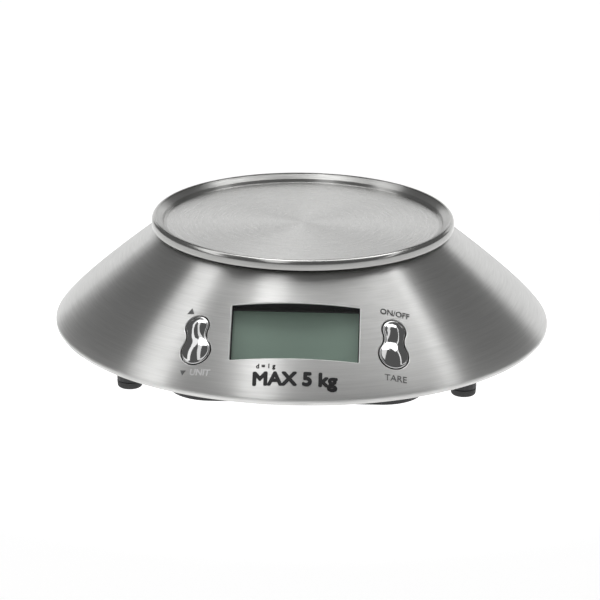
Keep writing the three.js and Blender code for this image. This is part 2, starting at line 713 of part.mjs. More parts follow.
// ---- Keys ---------------------------------------------------------------------------------------
const flangeTopDepth = steel + 1.6;
const flangeThickness = 1.4;
const rockerBottom = -(flangeTopDepth + flangeThickness);
const hubDepth = 2 * (axleRadius + gap) + 1;
const keyBoardTop = -(cradleDepth + gap);
const plungerRadius = 1.7;
const plungerSlack = 0.05; // left when the rocker is at the end of its tilt

function makeRocker() {
  const capDepth = keyProud + flangeTopDepth + 0.4 - 2 * keyEdge;
  const options = {
    depth: capDepth, bevelEnabled: true, bevelThickness: keyEdge, bevelSize: keyEdge,
    bevelOffset: -keyEdge, bevelSegments: 1, curveSegments: keyArcSteps,
  };
  const cap = new THREE.ExtrudeGeometry(figureEight(0), options);
  cap.translate(0, 0, keyProud - keyEdge - capDepth);
  const flange = slab(figureEight(keyFlange), rockerBottom, -flangeTopDepth, keyArcSteps);
  const capSolid = toSolid(cap);
  const hub = box(7, hubDepth, -axleDepth - axleRadius - 1.2, rockerBottom + 0.5, 0, figure.waistY);
  const bore = rod(axleRadius + gap, -8, 8, figure.waistY, -axleDepth);
  return cut(join(capSolid, flange, hub), bore);
}

function addKey({ name, group }, interior) {
  const local = fromFrame(interior, group);
  place(group, `${name}_key`, makeRocker(), finishes.chrome);

  const pocketOffset = keyFlange + 0.4;
  const wallOffset = pocketOffset + cradleWall;
  const wall = slab(figureEight(wallOffset), -cradleDepth, 2, keyArcSteps);
  const pocket = slab(figureEight(pocketOffset), -cradleDepth - 1, 4, keyArcSteps);
  const axleBore = rod(axleRadius + gap, -12, 12, figure.waistY, -axleDepth);
  const cradle = cut(wall, pocket, axleBore).intersect(local);
  place(group, `${name}_key_cradle`, cradle, finishes.blackPlastic);

  const axleHalf = keyWaist + wallOffset - 0.2;
  const axle = rod(axleRadius, -axleHalf, axleHalf, figure.waistY, -axleDepth);
  place(group, `${name}_key_axle`, axle, finishes.plainSteel);

  const board = slab(figureEight(wallOffset - 1), keyBoardTop - boardThickness, keyBoardTop, keyArcSteps);
  place(group, `${name}_key_board`, board, finishes.circuitBoard);

  // A switch stands under its lobe's middle, but never so near the waist that it meets the hub.
  const clear = (hubDepth + switchSide) / 2 + gap;
  const upper = Math.max(figure.upperY, figure.waistY + clear);
  const lower = Math.min(figure.lowerY, figure.waistY - clear);
  for (const [end, y] of [['upper', upper], ['lower', lower]]) {
    const lever = Math.abs(y - figure.waistY) + plungerRadius;
    const plungerTop = rockerBottom - lever * Math.tan(keyTilt * degrees) - plungerSlack;
    const switchTop = plungerTop - 0.8;
    const body = box(switchSide, switchSide, keyBoardTop + gap, switchTop, 0, y);
    const plunger = disc(plungerRadius, switchTop - 0.5, plungerTop, 0, y, 12);
    place(group, `${name}_${end}_switch`, join(body, plunger), finishes.silver);
  }
}

// ---- Batteries ----------------------------------------------------------------------------------
const doorHingeRadius = plastic / 2;
const doorHinge = {
  y: bayY + bayHalfDepth - gap - doorHingeRadius,
  z: wellBottom + doorHingeRadius,
};

function makeDoor() {
  const front = bayY - bayHalfDepth + gap;
  const width = 2 * (bayHalfLength - gap);
  const panel = box(width, doorHinge.y - front, wellBottom, wellFloor, 0, (doorHinge.y + front) / 2);
  const barrel = rod(doorHingeRadius, -width / 2, width / 2, doorHinge.y, doorHinge.z, 12);
  const tongue = box(10, 1.2, wellFloor - 0.5, wellFloor + doorNub, 0, front + 1.2);
  const grip = [0, 1, 2].map((i) => box(14, 0.8, wellBottom - 1, wellBottom + 0.5, 0, front + 3 + 2 * i));
  return cut(join(panel, barrel, tongue), ...grip);
}

// A cell whose flat end and spring are on the given side along X.
function addBattery(index, side) {
  const y = bayY + side * batteryPitch / 2;
  const nub = 1;
  const middle = -side * springLength / 2;
  const [flatEnd, nubEnd] = [middle + side * batteryLength / 2, middle - side * batteryLength / 2];
  const shoulder = nubEnd + side * nub;
  const between = (radius, from, to, steps) => (
    rod(radius, Math.min(from, to), Math.max(from, to), y, batteryHeight, steps)
  );
  const can = between(batteryRadius, shoulder, flatEnd, 16);
  const cap = between(1.9, nubEnd, nubEnd + 2 * side, 12);
  place(scale, `battery_${index}`, join(can, cap), finishes.batteryJacket);
  addBatterySpring(index, flatEnd + side * gap, side, y);
}

// A coil that starts at the cell's flat end and runs away from it.
function addBatterySpring(index, x, side, y) {
  const [turns, coilRadius, wireRadius] = [3, 3, 0.4];
  const length = springLength - gap - 2 * wireRadius;
  const points = [];
  const steps = turns * 8;
  for (let i = 0; i <= steps; i += 1) {
    const turn = (i / steps) * turns * Math.PI * 2;
    const along = x + side * (wireRadius + (i / steps) * length);
    points.push([along, y + coilRadius * Math.cos(turn), batteryHeight + coilRadius * Math.sin(turn)]);
  }
  place(scale, `battery_spring_${index}`, wire(points, wireRadius, steps, 6), finishes.nickel);
}

function addBatteries() {
  addBattery(1, -1);
  addBattery(2, 1);
  const [bottom, top] = [wellFloor + gap, bayRoof - gap];
  const plate = (x, y, width) => box(contactThickness, width, bottom, top, x, y);
  const x = bayHalfLength - gap - contactThickness / 2;
  const single = batteryPitch - 2;
  place(scale, 'link_contact', plate(x, bayY, 2 * (bayHalfDepth - gap)), finishes.nickel);
  place(scale, 'negative_contact', plate(-x, bayY - batteryPitch / 2, single), finishes.nickel);
  place(scale, 'positive_contact', plate(-x, bayY + batteryPitch / 2, single), finishes.nickel);
  place(scale, 'battery_door', makeDoor(), finishes.blackPlastic);
}

// ---- Buzzer and leads ---------------------------------------------------------------------------
function addBuzzer() {
  const [radius, height, x, y] = [7, 5.5, 30, -42];
  const low = wellFloor + gap;
  const can = disc(radius, low, low + height, x, y, 16);
  const soundHole = disc(1.2, low + height - 1.5, low + height + 1, x, y, 12);
  place(scale, 'buzzer', cut(can, soundHole), finishes.blackPlastic);
}

function addLeads() {
  const inConsole = (x, y, depth) => {
    const point = new THREE.Vector3(x, y, depth).applyMatrix4(consoleGroup.matrix);
    return [point.x, point.y, point.z];
  };
  const cellLeadRadius = 0.9;
  const cellLeadEnd = boardBottom - gap - cellLeadRadius;
  const cellLead = [
    [0, -(cellSide / 2 - 1 + gap), cellTop + gap + cellLeadRadius],
    [0, -cellSide / 2 - 4, cellTop + 1.5],
    [-3, -cellSide / 2 - 16, cellTop - 1],
    [-8, -cellSide / 2 - 32, cellTop - 1],
    inConsole(-13, 4, cellLeadEnd - 6),
    inConsole(-14, -4, cellLeadEnd - 1.5),
    inConsole(-14, -9, cellLeadEnd),
  ];
  place(scale, 'load_cell_lead', wire(cellLead, cellLeadRadius, 20), finishes.silicone);

  const batteryLeadRadius = 0.8;
  const floorRun = wellFloor + 2 * gap + 2 * batteryLeadRadius;
  const bayEdge = -(bayHalfLength + bayWall + gap);
  const batteryLead = [
    [bayEdge - 0.4, bayY - 4, bayRoof - 4],
    [bayEdge - 4, bayY - 5, bayRoof - 4.5],
    [-40, bayY - 24, floorRun + 1],
    [-49, 15, floorRun],
    [-49, -16, floorRun],
    [-36, -46, floorRun + 2],
    inConsole(-24, -2, boardBottom - gap - batteryLeadRadius - 5),
    inConsole(-22, -9, boardBottom - gap - batteryLeadRadius),
  ];
  place(scale, 'battery_lead', wire(batteryLead, batteryLeadRadius, 26), finishes.leadJacket);

  const keyLeadRadius = 0.7;
  for (const { name, side, group } of keySides) {
    const start = new THREE.Vector3(0, 3, keyBoardTop - boardThickness - gap - keyLeadRadius);
    const next = start.clone().add(new THREE.Vector3(0, 0, -2.5));
    const route = [
      ...[start, next].map((point) => point.applyMatrix4(group.matrix).toArray()),
      inConsole(side * 34, 4, boardBottom - 5),
      inConsole(side * 27, 4, boardBottom - gap - keyLeadRadius - 1),
      inConsole(side * 22, 4, boardBottom - gap - keyLeadRadius),
    ];
    place(scale, `${name}_key_lead`, wire(route, keyLeadRadius, 10), finishes.leadJacket);
  }
}

// ---- Assembly -----------------------------------------------------------------------------------
const interior = coverInterior();
place(scale, 'cover', makeCover(), finishes.brushedSteel);
addPlatform();
addLoadCell();
addBase();
addUpperFrame();
addDisplay(interior);
for (const key of keySides) addKey(key, interior);
addBatteries();
addBuzzer();
addLeads();

export default scale;
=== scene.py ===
# %% [markdown]
# # A domed kitchen scale
# The scale is a spun steel dome on a plastic base, with a dished steel plate on top, a display window
# in the front slope and a chrome rocker key on each side of it. The solid parts are packed already, in
# metres, and come in as a fixed frame. This lesson gives them their finishes and rebuilds the parts
# whose shape has to be smoother than a working solid: the dome, the plate, the keys and the feet.

import json
import math

import bmesh
import bpy
import numpy as np
from mathutils import Matrix

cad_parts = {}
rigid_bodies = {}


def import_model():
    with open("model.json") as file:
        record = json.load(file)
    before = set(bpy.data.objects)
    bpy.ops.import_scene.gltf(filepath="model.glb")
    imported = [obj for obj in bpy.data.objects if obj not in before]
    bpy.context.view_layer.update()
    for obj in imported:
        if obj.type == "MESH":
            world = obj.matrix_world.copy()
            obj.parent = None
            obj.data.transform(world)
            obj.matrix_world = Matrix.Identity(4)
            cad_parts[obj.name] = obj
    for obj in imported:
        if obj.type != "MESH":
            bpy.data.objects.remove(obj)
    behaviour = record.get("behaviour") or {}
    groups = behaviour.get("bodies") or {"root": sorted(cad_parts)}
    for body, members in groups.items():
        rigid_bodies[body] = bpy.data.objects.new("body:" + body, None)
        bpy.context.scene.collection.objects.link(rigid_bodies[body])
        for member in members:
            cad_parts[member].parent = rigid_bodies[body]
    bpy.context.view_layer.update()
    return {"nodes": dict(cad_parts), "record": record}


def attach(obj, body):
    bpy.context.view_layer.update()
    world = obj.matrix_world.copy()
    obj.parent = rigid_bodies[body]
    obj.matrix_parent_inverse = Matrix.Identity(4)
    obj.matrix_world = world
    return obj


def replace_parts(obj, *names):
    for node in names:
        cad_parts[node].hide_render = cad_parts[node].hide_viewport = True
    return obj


for leftover in list(bpy.data.objects):
    bpy.data.objects.remove(leftover)

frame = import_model()
nodes = frame["nodes"]

# %% [markdown]
# ## The sizes that the new pieces repeat
# A new piece has to sit exactly where its solid does, so it repeats the solid's own sizes. They are in
# millimetres here, because that is how such a part is drawn, and become metres when a mesh is made.

# %% Sizes in millimetres
MM = 0.001
BODY_RADIUS, RIM_HEIGHT, RIM_ROLL, STEEL = 120.0, 12.0, 2.2, 0.8
HEM_RADIUS = 113.8
SHOULDER_RADIUS, SHOULDER_HEIGHT, SHOULDER_FOLD = 72.0, 58.5, 3.0
SKIRT_LEAN, SHOULDER_LEAN = math.radians(11.6), math.radians(4.4)
OPENING_RADIUS, OPENING_LIP = 58.0, 4.0
PLATE_RADIUS, PLATE_FLOOR, PLATE_FLOOR_RADIUS = 73.2, 61.6, 67.3
WINDOW_WIDTH, WINDOW_HEIGHT, WINDOW_CORNER = 58.5, 29.0, 0.5
CONSOLE_HEIGHT, KEY_SPACING, KEY_DROP = 39.5, 45.1, 2.2
KEY_LOWER, KEY_UPPER, KEY_LOBES, KEY_WAIST = 6.9, 5.5, 12.9, 4.6
KEY_GAP = 0.5
FOOT_RADIUS, FOOT_HEIGHT, FOOT_CIRCLE, FOOT_ANGLE = 6.0, 3.4, 102.8, 40.6
print("dome", 2 * BODY_RADIUS, "mm across, plate", 2 * PLATE_RADIUS, "mm across")

# %% [markdown]
# ## From numbers to a mesh
# Every new piece is worked out as arrays of points, and one helper puts such arrays into Blender. A
# profile that is carried round the upright axis makes the dome and the plate, as spinning metal does.


# %% Mesh helpers
def mesh_object(name, points, faces, smooth=True):
    """Points (n, 3) in millimetres and faces (m, k) of point numbers, put into a mesh in metres."""
    faces = np.asarray(faces, np.int32)
    mesh = bpy.data.meshes.new(name)
    mesh.vertices.add(len(points))
    mesh.vertices.foreach_set("co", (np.asarray(points, float) * MM).ravel())
    mesh.loops.add(faces.size)
    mesh.loops.foreach_set("vertex_index", faces.ravel())
    mesh.polygons.add(len(faces))
    mesh.polygons.foreach_set("loop_start", np.arange(0, faces.size, faces.shape[1], dtype=np.int32))
    mesh.polygons.foreach_set("use_smooth", np.full(len(faces), smooth))
    mesh.update(calc_edges=True)
    mesh.validate()
    piece = bpy.data.objects.new(name, mesh)
    bpy.context.scene.collection.objects.link(piece)
    return piece


def grid_faces(rows, columns, wrap_rows=False, wrap_columns=True):
    """Four-sided faces of a grid of points numbered row by row: each joins a point to the next one in
    its row and to the two in the next row. A wrapped direction joins its last line to its first."""
    row = np.arange(rows if wrap_rows else rows - 1)[:, None]
    column = np.arange(columns if wrap_columns else columns - 1)[None, :]
    next_row, next_column = (row + 1) % rows, (column + 1) % columns
    corners = [row * columns + column, row * columns + next_column,
               next_row * columns + next_column, next_row * columns + column]
    return np.stack(corners, axis=-1).reshape(-1, 4)


def weld(piece, distance=1e-3):
    """Merge points closer than a distance in millimetres, which closes poles and seams."""
    work = bmesh.new()
    work.from_mesh(piece.data)
    bmesh.ops.remove_doubles(work, verts=work.verts, dist=distance * MM)
    bmesh.ops.recalc_face_normals(work, faces=work.faces)
    work.to_mesh(piece.data)
    work.free()
    return piece


def sharpen(piece, degrees):
    """Keep an edge sharp where its two faces meet at more than this angle."""
    piece.data.set_sharp_from_angle(angle=math.radians(degrees))


def face_values(mesh, measure):
    """One measure of every face, its center or its normal, as an array (n, 3)."""
    values = np.zeros(len(mesh.polygons) * 3)
    mesh.polygons.foreach_get(measure, values)
    return values.reshape(-1, 3)


def unit(vector):
    """The vector divided by its length."""
    return vector / np.linalg.norm(vector)


def round_angles(steps=288):
    """Equal steps of angle once round, without the last, which is the first again."""
    return np.linspace(0, 2 * np.pi, steps, endpoint=False)


def turned_points(profile, angles):
    """A profile (n, 2) of radius and height, carried round Z: at angle a, measured from the front
    towards the right, a point stands at (radius sin a, -radius cos a, height)."""
    profile = np.asarray(profile, float)
    radius, height = profile[:, :1], profile[:, 1:]
    x, y = radius * np.sin(angles), -radius * np.cos(angles)
    return np.stack([x, y, np.broadcast_to(height, x.shape)], axis=-1)


def turned(name, profile, angles=None, centre=(0, 0), closed=True):
    """A profile carried all the way round an upright axis at a centre. A closed one runs inwards over
    the top, and an open one starts and ends on the axis."""
    angles = round_angles() if angles is None else angles
    points = turned_points(profile, angles) + [*centre, 0]
    faces = grid_faces(len(profile), len(angles), wrap_rows=closed)
    return weld(mesh_object(name, points.reshape(-1, 3), faces))


def arc(centre, radius, start, end, steps):
    """Points (steps, 2) on an arc between two angles in degrees, both ends included."""
    turn = np.radians(np.linspace(start, end, steps))
    return np.stack([centre[0] + radius * np.cos(turn), centre[1] + radius * np.sin(turn)], axis=1)


print("helpers ready, for example", len(grid_faces(3, 4)), "faces on a band of 3 rings of 4 points")

# %% [markdown]
# ## The camera
# A long lens from a little above the table gives the calm, nearly parallel look of a catalogue
# picture. The camera is turned to put the scale a little above the middle, so it needs no lens shift.

# %% Place the camera
CAMERA_DISTANCE, CAMERA_RISE, CAMERA_YAW, CAMERA_ROLL = 1.3, 18.63, 1.82, 0.69
LOOK_AT = np.array([0, 0, 0.03])
AIM_LEFT, AIM_BELOW = 0.00104, 0.00808
FOCAL_LENGTH, SENSOR_WIDTH, VIEW_END = 159.7, 36, 20


def camera_axes(yaw, rise, roll):
    """Right, up and back of a camera that looks at the middle: back leans up by the rise and round by
    the yaw, right is level, up is square to both, and the roll turns right towards up."""
    yaw, rise, roll = np.radians([yaw, rise, roll])
    back = np.array([np.sin(yaw) * np.cos(rise), -np.cos(yaw) * np.cos(rise), np.sin(rise)])
    right = np.array([np.cos(yaw), np.sin(yaw), 0])
    up = np.cross(back, right)
    return (np.cos(roll) * right + np.sin(roll) * up, np.cos(roll) * up - np.sin(roll) * right, back)


right, up, back = camera_axes(CAMERA_YAW, CAMERA_RISE, CAMERA_ROLL)
place = LOOK_AT + CAMERA_DISTANCE * back
towards = unit(place - (LOOK_AT - AIM_LEFT * right - AIM_BELOW * up))
across = unit(np.cross(up, towards))
camera = bpy.data.objects.new("camera", bpy.data.cameras.new("camera"))
camera.data.lens = FOCAL_LENGTH
camera.data.sensor_width = SENSOR_WIDTH
camera.data.clip_end = VIEW_END
matrix = np.eye(4)
matrix[:3, 0], matrix[:3, 1], matrix[:3, 2] = across, np.cross(towards, across), towards
matrix[:3, 3] = place
camera.matrix_world = Matrix(matrix)
bpy.context.scene.collection.objects.link(camera)
bpy.context.scene.camera = camera
print("camera at", np.round(place, 3), "m")

# %% [markdown]
# ## Floor and light
# Bright metal shows its surroundings more than its own colour, so the light is what draws this scale.
# Three long strips show in the dome as streaks, to the left, near the middle and to the right. A
# ceiling light and a dimmer one behind it light the plate, whose narrow strip adds one streak across
# its floor, and a low wall of light stands behind. Between them the room is dim, which gives the dark
# bands that make steel look like steel. The floor is a pale light table, so the shadow stays soft.

# %% Lights and floor
FLOOR_HALF = 6.0
ROOM_STRENGTH = 0.16
RIM_LEAN, TOP_LEAN, STRIP_LENGTH = 60, 30, 6.0


def mirrored(turn, lean):
    """The direction that a face shows to the camera: a face turned round Z from the front and leant
    back from level by these degrees, so the camera's own direction is reflected in its normal."""
    turn, lean = math.radians(turn), math.radians(lean)
    flat = math.sin(lean)
    normal = np.array([math.sin(turn) * flat, -math.cos(turn) * flat, math.cos(lean)])
    return 2 * np.dot(normal, back) * normal - back


def softbox(name, towards, along, width, length, glow, distance=3.0):
    """A flat rectangular light in a direction from the middle, facing it, with its long side along a
    given line as nearly as that allows. The power is the glow times pi times the area."""
    towards = np.array(towards, float) / np.linalg.norm(towards)
    long_side = unit(np.array(along, float) - np.dot(along, towards) * towards)
    light = bpy.data.lights.new(name, "AREA")
    light.shape, light.size, light.size_y = "RECTANGLE", width, length
    light.energy = glow * math.pi * width * length
    lamp = bpy.data.objects.new(name, light)
    pose = np.eye(4)
    pose[:3, 0], pose[:3, 1] = np.cross(long_side, towards), long_side
    pose[:3, 2], pose[:3, 3] = towards, towards * distance
    lamp.matrix_world = Matrix(pose)
    bpy.context.scene.collection.objects.link(lamp)
    return lamp


def strip_light(name, rim_turn, shoulder_turn, width, glow):
    """A long softbox that shows in the dome as a streak, from one turn round it at the rim to another
    at the shoulder."""
    low, high = mirrored(rim_turn, RIM_LEAN), mirrored(shoulder_turn, TOP_LEAN)
    return softbox(name, low + high, low - high, width, STRIP_LENGTH, glow)


strip_light("left_strip", -34.5, -31, 0.85, 1.5)
strip_light("right_strip", 37.3, 34.8, 0.3, 1.5)
strip_light("middle_strip", -8, -6.2, 0.75, 1.2)
softbox("ceiling", (0.1, 0.31, 0.94), (0, 1, 0), 2.6, 1.4, 2.9)
softbox("back_ceiling", (0, 0.8, 0.6), (1, 0, 0), 1.6, 1.0, 0.3)
softbox("back_wall", (0.06, 0.97, 0.2), (1, 0, 0), 1.3, 4.3, 0.85)
plate_along = mirrored(-13.5, 4) - mirrored(-13.5, 12)
softbox("plate_strip", mirrored(-13.5, 8), plate_along, 0.25, 0.9, 0.8, 2.9)

world = bpy.data.worlds.new("studio")
world.use_nodes = True
bpy.context.scene.world = world
room = world.node_tree.nodes["Background"]
room.inputs["Color"].default_value = (1, 1, 1, 1)
room.inputs["Strength"].default_value = ROOM_STRENGTH

floor_corners = [[-1, -1, 0], [1, -1, 0], [1, 1, 0], [-1, 1, 0]]
floor = mesh_object("floor", np.array(floor_corners) * FLOOR_HALF / MM, [[0, 1, 2, 3]], smooth=False)
bpy.context.scene.view_settings.view_transform = "Standard"
print("floor", 2 * FLOOR_HALF, "m across")

# %% [markdown]
# ## Finishes
# Each finish starts from the same shader and gets its own fine detail: a noise that varies how rough
# it is, how dark it is and how its surface stands. The helper takes how small the detail is, because
# the grain of rubber, moulded plastic and satin metal differ mostly in that.


# %% Finish helpers
def add_node(material, kind, inputs=None, **settings):
    """A shader node with its settings, and its inputs by name or number: a link or a value each."""
    made = material.node_tree.nodes.new(kind)
    for key, value in settings.items():
        setattr(made, key, value)
    for key, value in (inputs or {}).items():
        if isinstance(value, bpy.types.NodeSocket):
            material.node_tree.links.new(value, made.inputs[key])
        else:
            made.inputs[key].default_value = value
    return made


def calculate(material, operation, *values):
    """One arithmetic step on sockets or numbers."""
    made = add_node(material, "ShaderNodeMath", dict(enumerate(values)), operation=operation)
    return made.outputs[0]


def spread(material, value, low, high):
    """A noise value, which seldom leaves 0.3 to 0.7, stretched from that span to low and high."""
    span = {"Value": value, "From Min": 0.3, "From Max": 0.7, "To Min": low, "To Max": high}
    return add_node(material, "ShaderNodeMapRange", span).outputs["Result"]


def new_finish(name, colour, roughness, metallic=0.0, **sockets):
    """A shader with constant sockets: colour, roughness, metal and any others by their names."""
    material = bpy.data.materials.new(name)
    material.use_nodes = True
    shader = material.node_tree.nodes["Principled BSDF"]
    shader.inputs["Base Color"].default_value = (*colour, 1)
    shader.inputs["Roughness"].default_value = roughness
    shader.inputs["Metallic"].default_value = metallic
    for key, value in sockets.items():
        shader.inputs[key.replace("_", " ")].default_value = value
    return material, shader


def mixed_colour(material, share, colour, tint):
    """A colour that darkens by the tint as a share goes from 0 to 1."""
    darker = [channel * (1 - tint) for channel in colour]
    ends = {0: share, 6: (*colour, 1), 7: (*darker, 1)}
    return add_node(material, "ShaderNodeMix", ends, data_type="RGBA").outputs[2]


def raised(material, height, depth):
    """A bent normal, as if a height from 0 to 1 stood as high as the depth in millimetres."""
    lifted = {"Height": height, "Distance": depth * MM, "Strength": 1.0}
    return add_node(material, "ShaderNodeBump", lifted).outputs[0]


def grained(name, colour, roughness, metallic=0.0, grain=0.4, bump=0.01, tint=0.08,
            stretch=(1, 1, 1)):
    """A finish with a fine grain: noise of the given size in millimetres varies the roughness by 15
    hundredths either way, broader noise darkens the colour by the tint, and the fine noise raises the
    surface by the bump, also in millimetres."""
    material, shader = new_finish(name, colour, roughness, metallic)
    where = add_node(material, "ShaderNodeTexCoord").outputs["Object"]
    scaled = add_node(material, "ShaderNodeMapping", {"Vector": where, "Scale": stretch}).outputs[0]

    def noise(scale, detail):
        """Noise that changes scale times in each length of the grain."""
        inputs = {"Vector": scaled, "Scale": scale / (grain * MM), "Detail": detail}
        return add_node(material, "ShaderNodeTexNoise", inputs).outputs["Fac"]

    fine, broad = noise(1, 3.0), noise(0.08, 2.0)
    link = material.node_tree.links.new
    rough = spread(material, fine, roughness * 0.85, min(1, roughness * 1.15))
    link(rough, shader.inputs["Roughness"])
    link(mixed_colour(material, broad, colour, tint), shader.inputs["Base Color"])
    link(raised(material, fine, bump), shader.inputs["Normal"])
    return material


def wear(piece, material):
    """Put one finish on a whole piece."""
    piece.data.materials.clear()
    piece.data.materials.append(material)


print("finish helpers ready")

# %% [markdown]
# ## Spun steel
# The dome and the plate turn on a lathe while they are brushed, so the scratches run round the axis.
# Light then spreads across the scratches, which is along the radius, and every lamp becomes a bright
# streak that points at the middle. The shader does this with its anisotropy and a tangent along the
# radius. The scratches are a noise squeezed along the profile and drawn out round the axis.


# %% Brushed steel
SCRATCH_TINT, SCRATCH_DEPTH = 0.14, 0.004


def spun_steel(name, colour, roughness, anisotropy, scratch=0.35):
    """Steel brushed round Z. The tangent is the flat part of the place, made one long. The noise reads
    (radius less half the height, and the direction round Z), so it changes fast along the profile
    and slowly round the axis. The fine scratches vary the roughness by 14 hundredths either way."""
    material, shader = new_finish(name, colour, roughness, 1.0, Anisotropic=anisotropy)
    link = material.node_tree.links.new
    where = add_node(material, "ShaderNodeTexCoord").outputs["Object"]

    def vector_step(operation, output, *values):
        """One step of vector arithmetic on sockets or fixed vectors."""
        inputs = dict(enumerate(values))
        return add_node(material, "ShaderNodeVectorMath", inputs, operation=operation).outputs[output]

    flat = vector_step("MULTIPLY", 0, where, (1, 1, 0))
    radial = vector_step("NORMALIZE", 0, flat)
    link(radial, shader.inputs["Tangent"])
    radius = vector_step("LENGTH", "Value", flat)
    parts = add_node(material, "ShaderNodeSeparateXYZ", {0: where})
    turn = add_node(material, "ShaderNodeSeparateXYZ", {0: radial})
    along = calculate(material, "MULTIPLY_ADD", parts.outputs["Z"], -0.5, radius)

    def scratches(size, draw, detail):
        """Noise that changes once in each size in millimetres along the profile, and by the draw for
        each unit of the direction round Z."""
        place_of = {0: calculate(material, "MULTIPLY", along, 1 / (size * MM)),
                    1: calculate(material, "MULTIPLY", turn.outputs["X"], draw),
                    2: calculate(material, "MULTIPLY", turn.outputs["Y"], draw)}
        vector = add_node(material, "ShaderNodeCombineXYZ", place_of).outputs[0]
        noise = {"Vector": vector, "Scale": 1.0, "Detail": detail}
        return add_node(material, "ShaderNodeTexNoise", noise).outputs["Fac"]

    fine, coarse = scratches(scratch, 7.0, 3.0), scratches(scratch * 4, 3.0, 2.0)
    link(spread(material, fine, roughness * 0.86, roughness * 1.14), shader.inputs["Roughness"])
    mixed = calculate(material, "MULTIPLY_ADD", coarse, 0.5, calculate(material, "MULTIPLY", fine, 0.5))
    shade = mixed_colour(material, spread(material, mixed, 0, 1), colour, SCRATCH_TINT)
    link(shade, shader.inputs["Base Color"])
    link(raised(material, fine, SCRATCH_DEPTH), shader.inputs["Normal"])
    return material


dome_steel = spun_steel("dome_steel", (0.66, 0.66, 0.65), 0.36, 1.0)
plate_steel = spun_steel("plate_steel", (0.57, 0.57, 0.56), 0.29, 0.65)
# The plate's skirt and wall wear darker copies of its steel: the lower colour is painted shade.
skirt_steel_painted_shade = spun_steel("skirt_steel_painted_shade", (0.46, 0.46, 0.45), 0.22, 0.6)
wall_steel_painted_shade = spun_steel("wall_steel_painted_shade", (0.5, 0.5, 0.49), 0.34, 1.0)
# A pale rough metal for the punched edges: a painted highlight, brighter than the dome's own steel.
edge_painted_highlight = new_finish("edge_painted_highlight", (0.95, 0.95, 0.94), 0.55, 1.0)[0]
print("spun steel made")

# %% [markdown]
# ## The dome's curve
# The slope of the dome isn't straight: it steepens from the shoulder down to the rim. One quadratic
# curve gives that, from the roll of the rim up to the fold of the shoulder, with its middle point
# where the two end tangents cross. Everything in the front slope is placed from this curve.


# %% The dome's curve
def dome_curve(steps):
    """Points and slopes of the dome's outer face. The chord from rim to shoulder sets a mean slope;
    the lower end leans steeper and the upper end flatter by their own angles."""
    chord = math.atan2(SHOULDER_HEIGHT - RIM_HEIGHT - RIM_ROLL, BODY_RADIUS - SHOULDER_RADIUS)
    low, high = chord + SKIRT_LEAN, chord - SHOULDER_LEAN
    start = np.array([BODY_RADIUS - RIM_ROLL + RIM_ROLL * math.sin(low),
                      RIM_HEIGHT + RIM_ROLL + RIM_ROLL * math.cos(low)])
    end = np.array([SHOULDER_RADIUS, SHOULDER_HEIGHT - SHOULDER_FOLD * (1 - math.cos(high))])
    rising = np.array([-math.cos(low), math.sin(low)])
    falling = np.array([math.cos(high), -math.sin(high)])
    reach = end - start
    across = rising[0] * falling[1] - rising[1] * falling[0]
    along = (reach[0] * falling[1] - reach[1] * falling[0]) / across
    middle = start + along * rising
    t = np.linspace(0, 1, steps)[:, None]
    points = (1 - t) ** 2 * start + 2 * t * (1 - t) * middle + t**2 * end
    tangent = 2 * (1 - t) * (middle - start) + 2 * t * (end - middle)
    tangent /= np.linalg.norm(tangent, axis=1)[:, None]
    return points, tangent, low, high


CURVE, CURVE_TANGENT, RIM_SLOPE, TOP_SLOPE = dome_curve(400)
CURVE_SLOPE = np.arctan2(CURVE_TANGENT[:, 1], -CURVE_TANGENT[:, 0])


def dome_height(radius):
    """The height of the dome's face at a radius, read between the points of its curve."""
    return np.interp(radius, CURVE[::-1, 0], CURVE[::-1, 1])


def dome_slope(radius):
    """The lean of the dome's face at a radius, read between the slopes of its curve."""
    return np.interp(radius, CURVE[::-1, 0], CURVE_SLOPE[::-1])


def dome_profile(depth, roll_steps, curve_steps, fold_steps):
    """The profile set in by a depth: the rim's roll, the curve moved along its own normal, and the
    shoulder's fold."""
    roll_centre = (BODY_RADIUS - RIM_ROLL, RIM_HEIGHT + RIM_ROLL)
    roll = arc(roll_centre, RIM_ROLL - depth, -90, 90 - math.degrees(RIM_SLOPE), roll_steps)
    points, tangent, _, _ = dome_curve(curve_steps)
    slope = points + depth * np.stack([-tangent[:, 1], tangent[:, 0]], axis=1)
    fold_x = SHOULDER_RADIUS - SHOULDER_FOLD * math.sin(TOP_SLOPE)
    fold = arc((fold_x, SHOULDER_HEIGHT - SHOULDER_FOLD), SHOULDER_FOLD - depth,
               90 - math.degrees(TOP_SLOPE), 90, fold_steps)
    return np.concatenate([roll[:-1], slope, fold[1:]])


print("dome slopes", np.degrees([RIM_SLOPE, TOP_SLOPE]).round(1), "degrees")

# %% [markdown]
# ## Frames for the display and the keys
# The display sits in a flat frame that leans with the front slope, and each key in a frame of its own
# on the curved slope beside it. A frame is an origin and three directions: across, up the slope and
# out of it. Halving finds how far the dome lies below a frame's plane at any point.


# %% Display and key frames
SEARCH_FROM, SEARCH_TO, HALVINGS = -30.0, 8.0, 40


def in_frame(local, spot, axes):
    """Points (..., 3) of a frame as points of the whole scale: origin plus each part times its axis."""
    return spot + np.asarray(local, float) @ axes


def dome_below(spot, axes, flat):
    """How high, along the frame's outward axis, the dome's face lies over points (n, 2) of its plane.
    Each halving keeps the half in which the line crosses from inside to outside."""
    low, high = np.full(len(flat), SEARCH_FROM), np.full(len(flat), SEARCH_TO)
    for _ in range(HALVINGS):
        middle = (low + high) / 2
        point = in_frame(np.column_stack([flat, middle]), spot, axes)
        radius = np.hypot(point[:, 0], point[:, 1])
        outside = point[:, 2] > dome_height(radius)
        low, high = np.where(outside, low, middle), np.where(outside, middle, high)
    return low


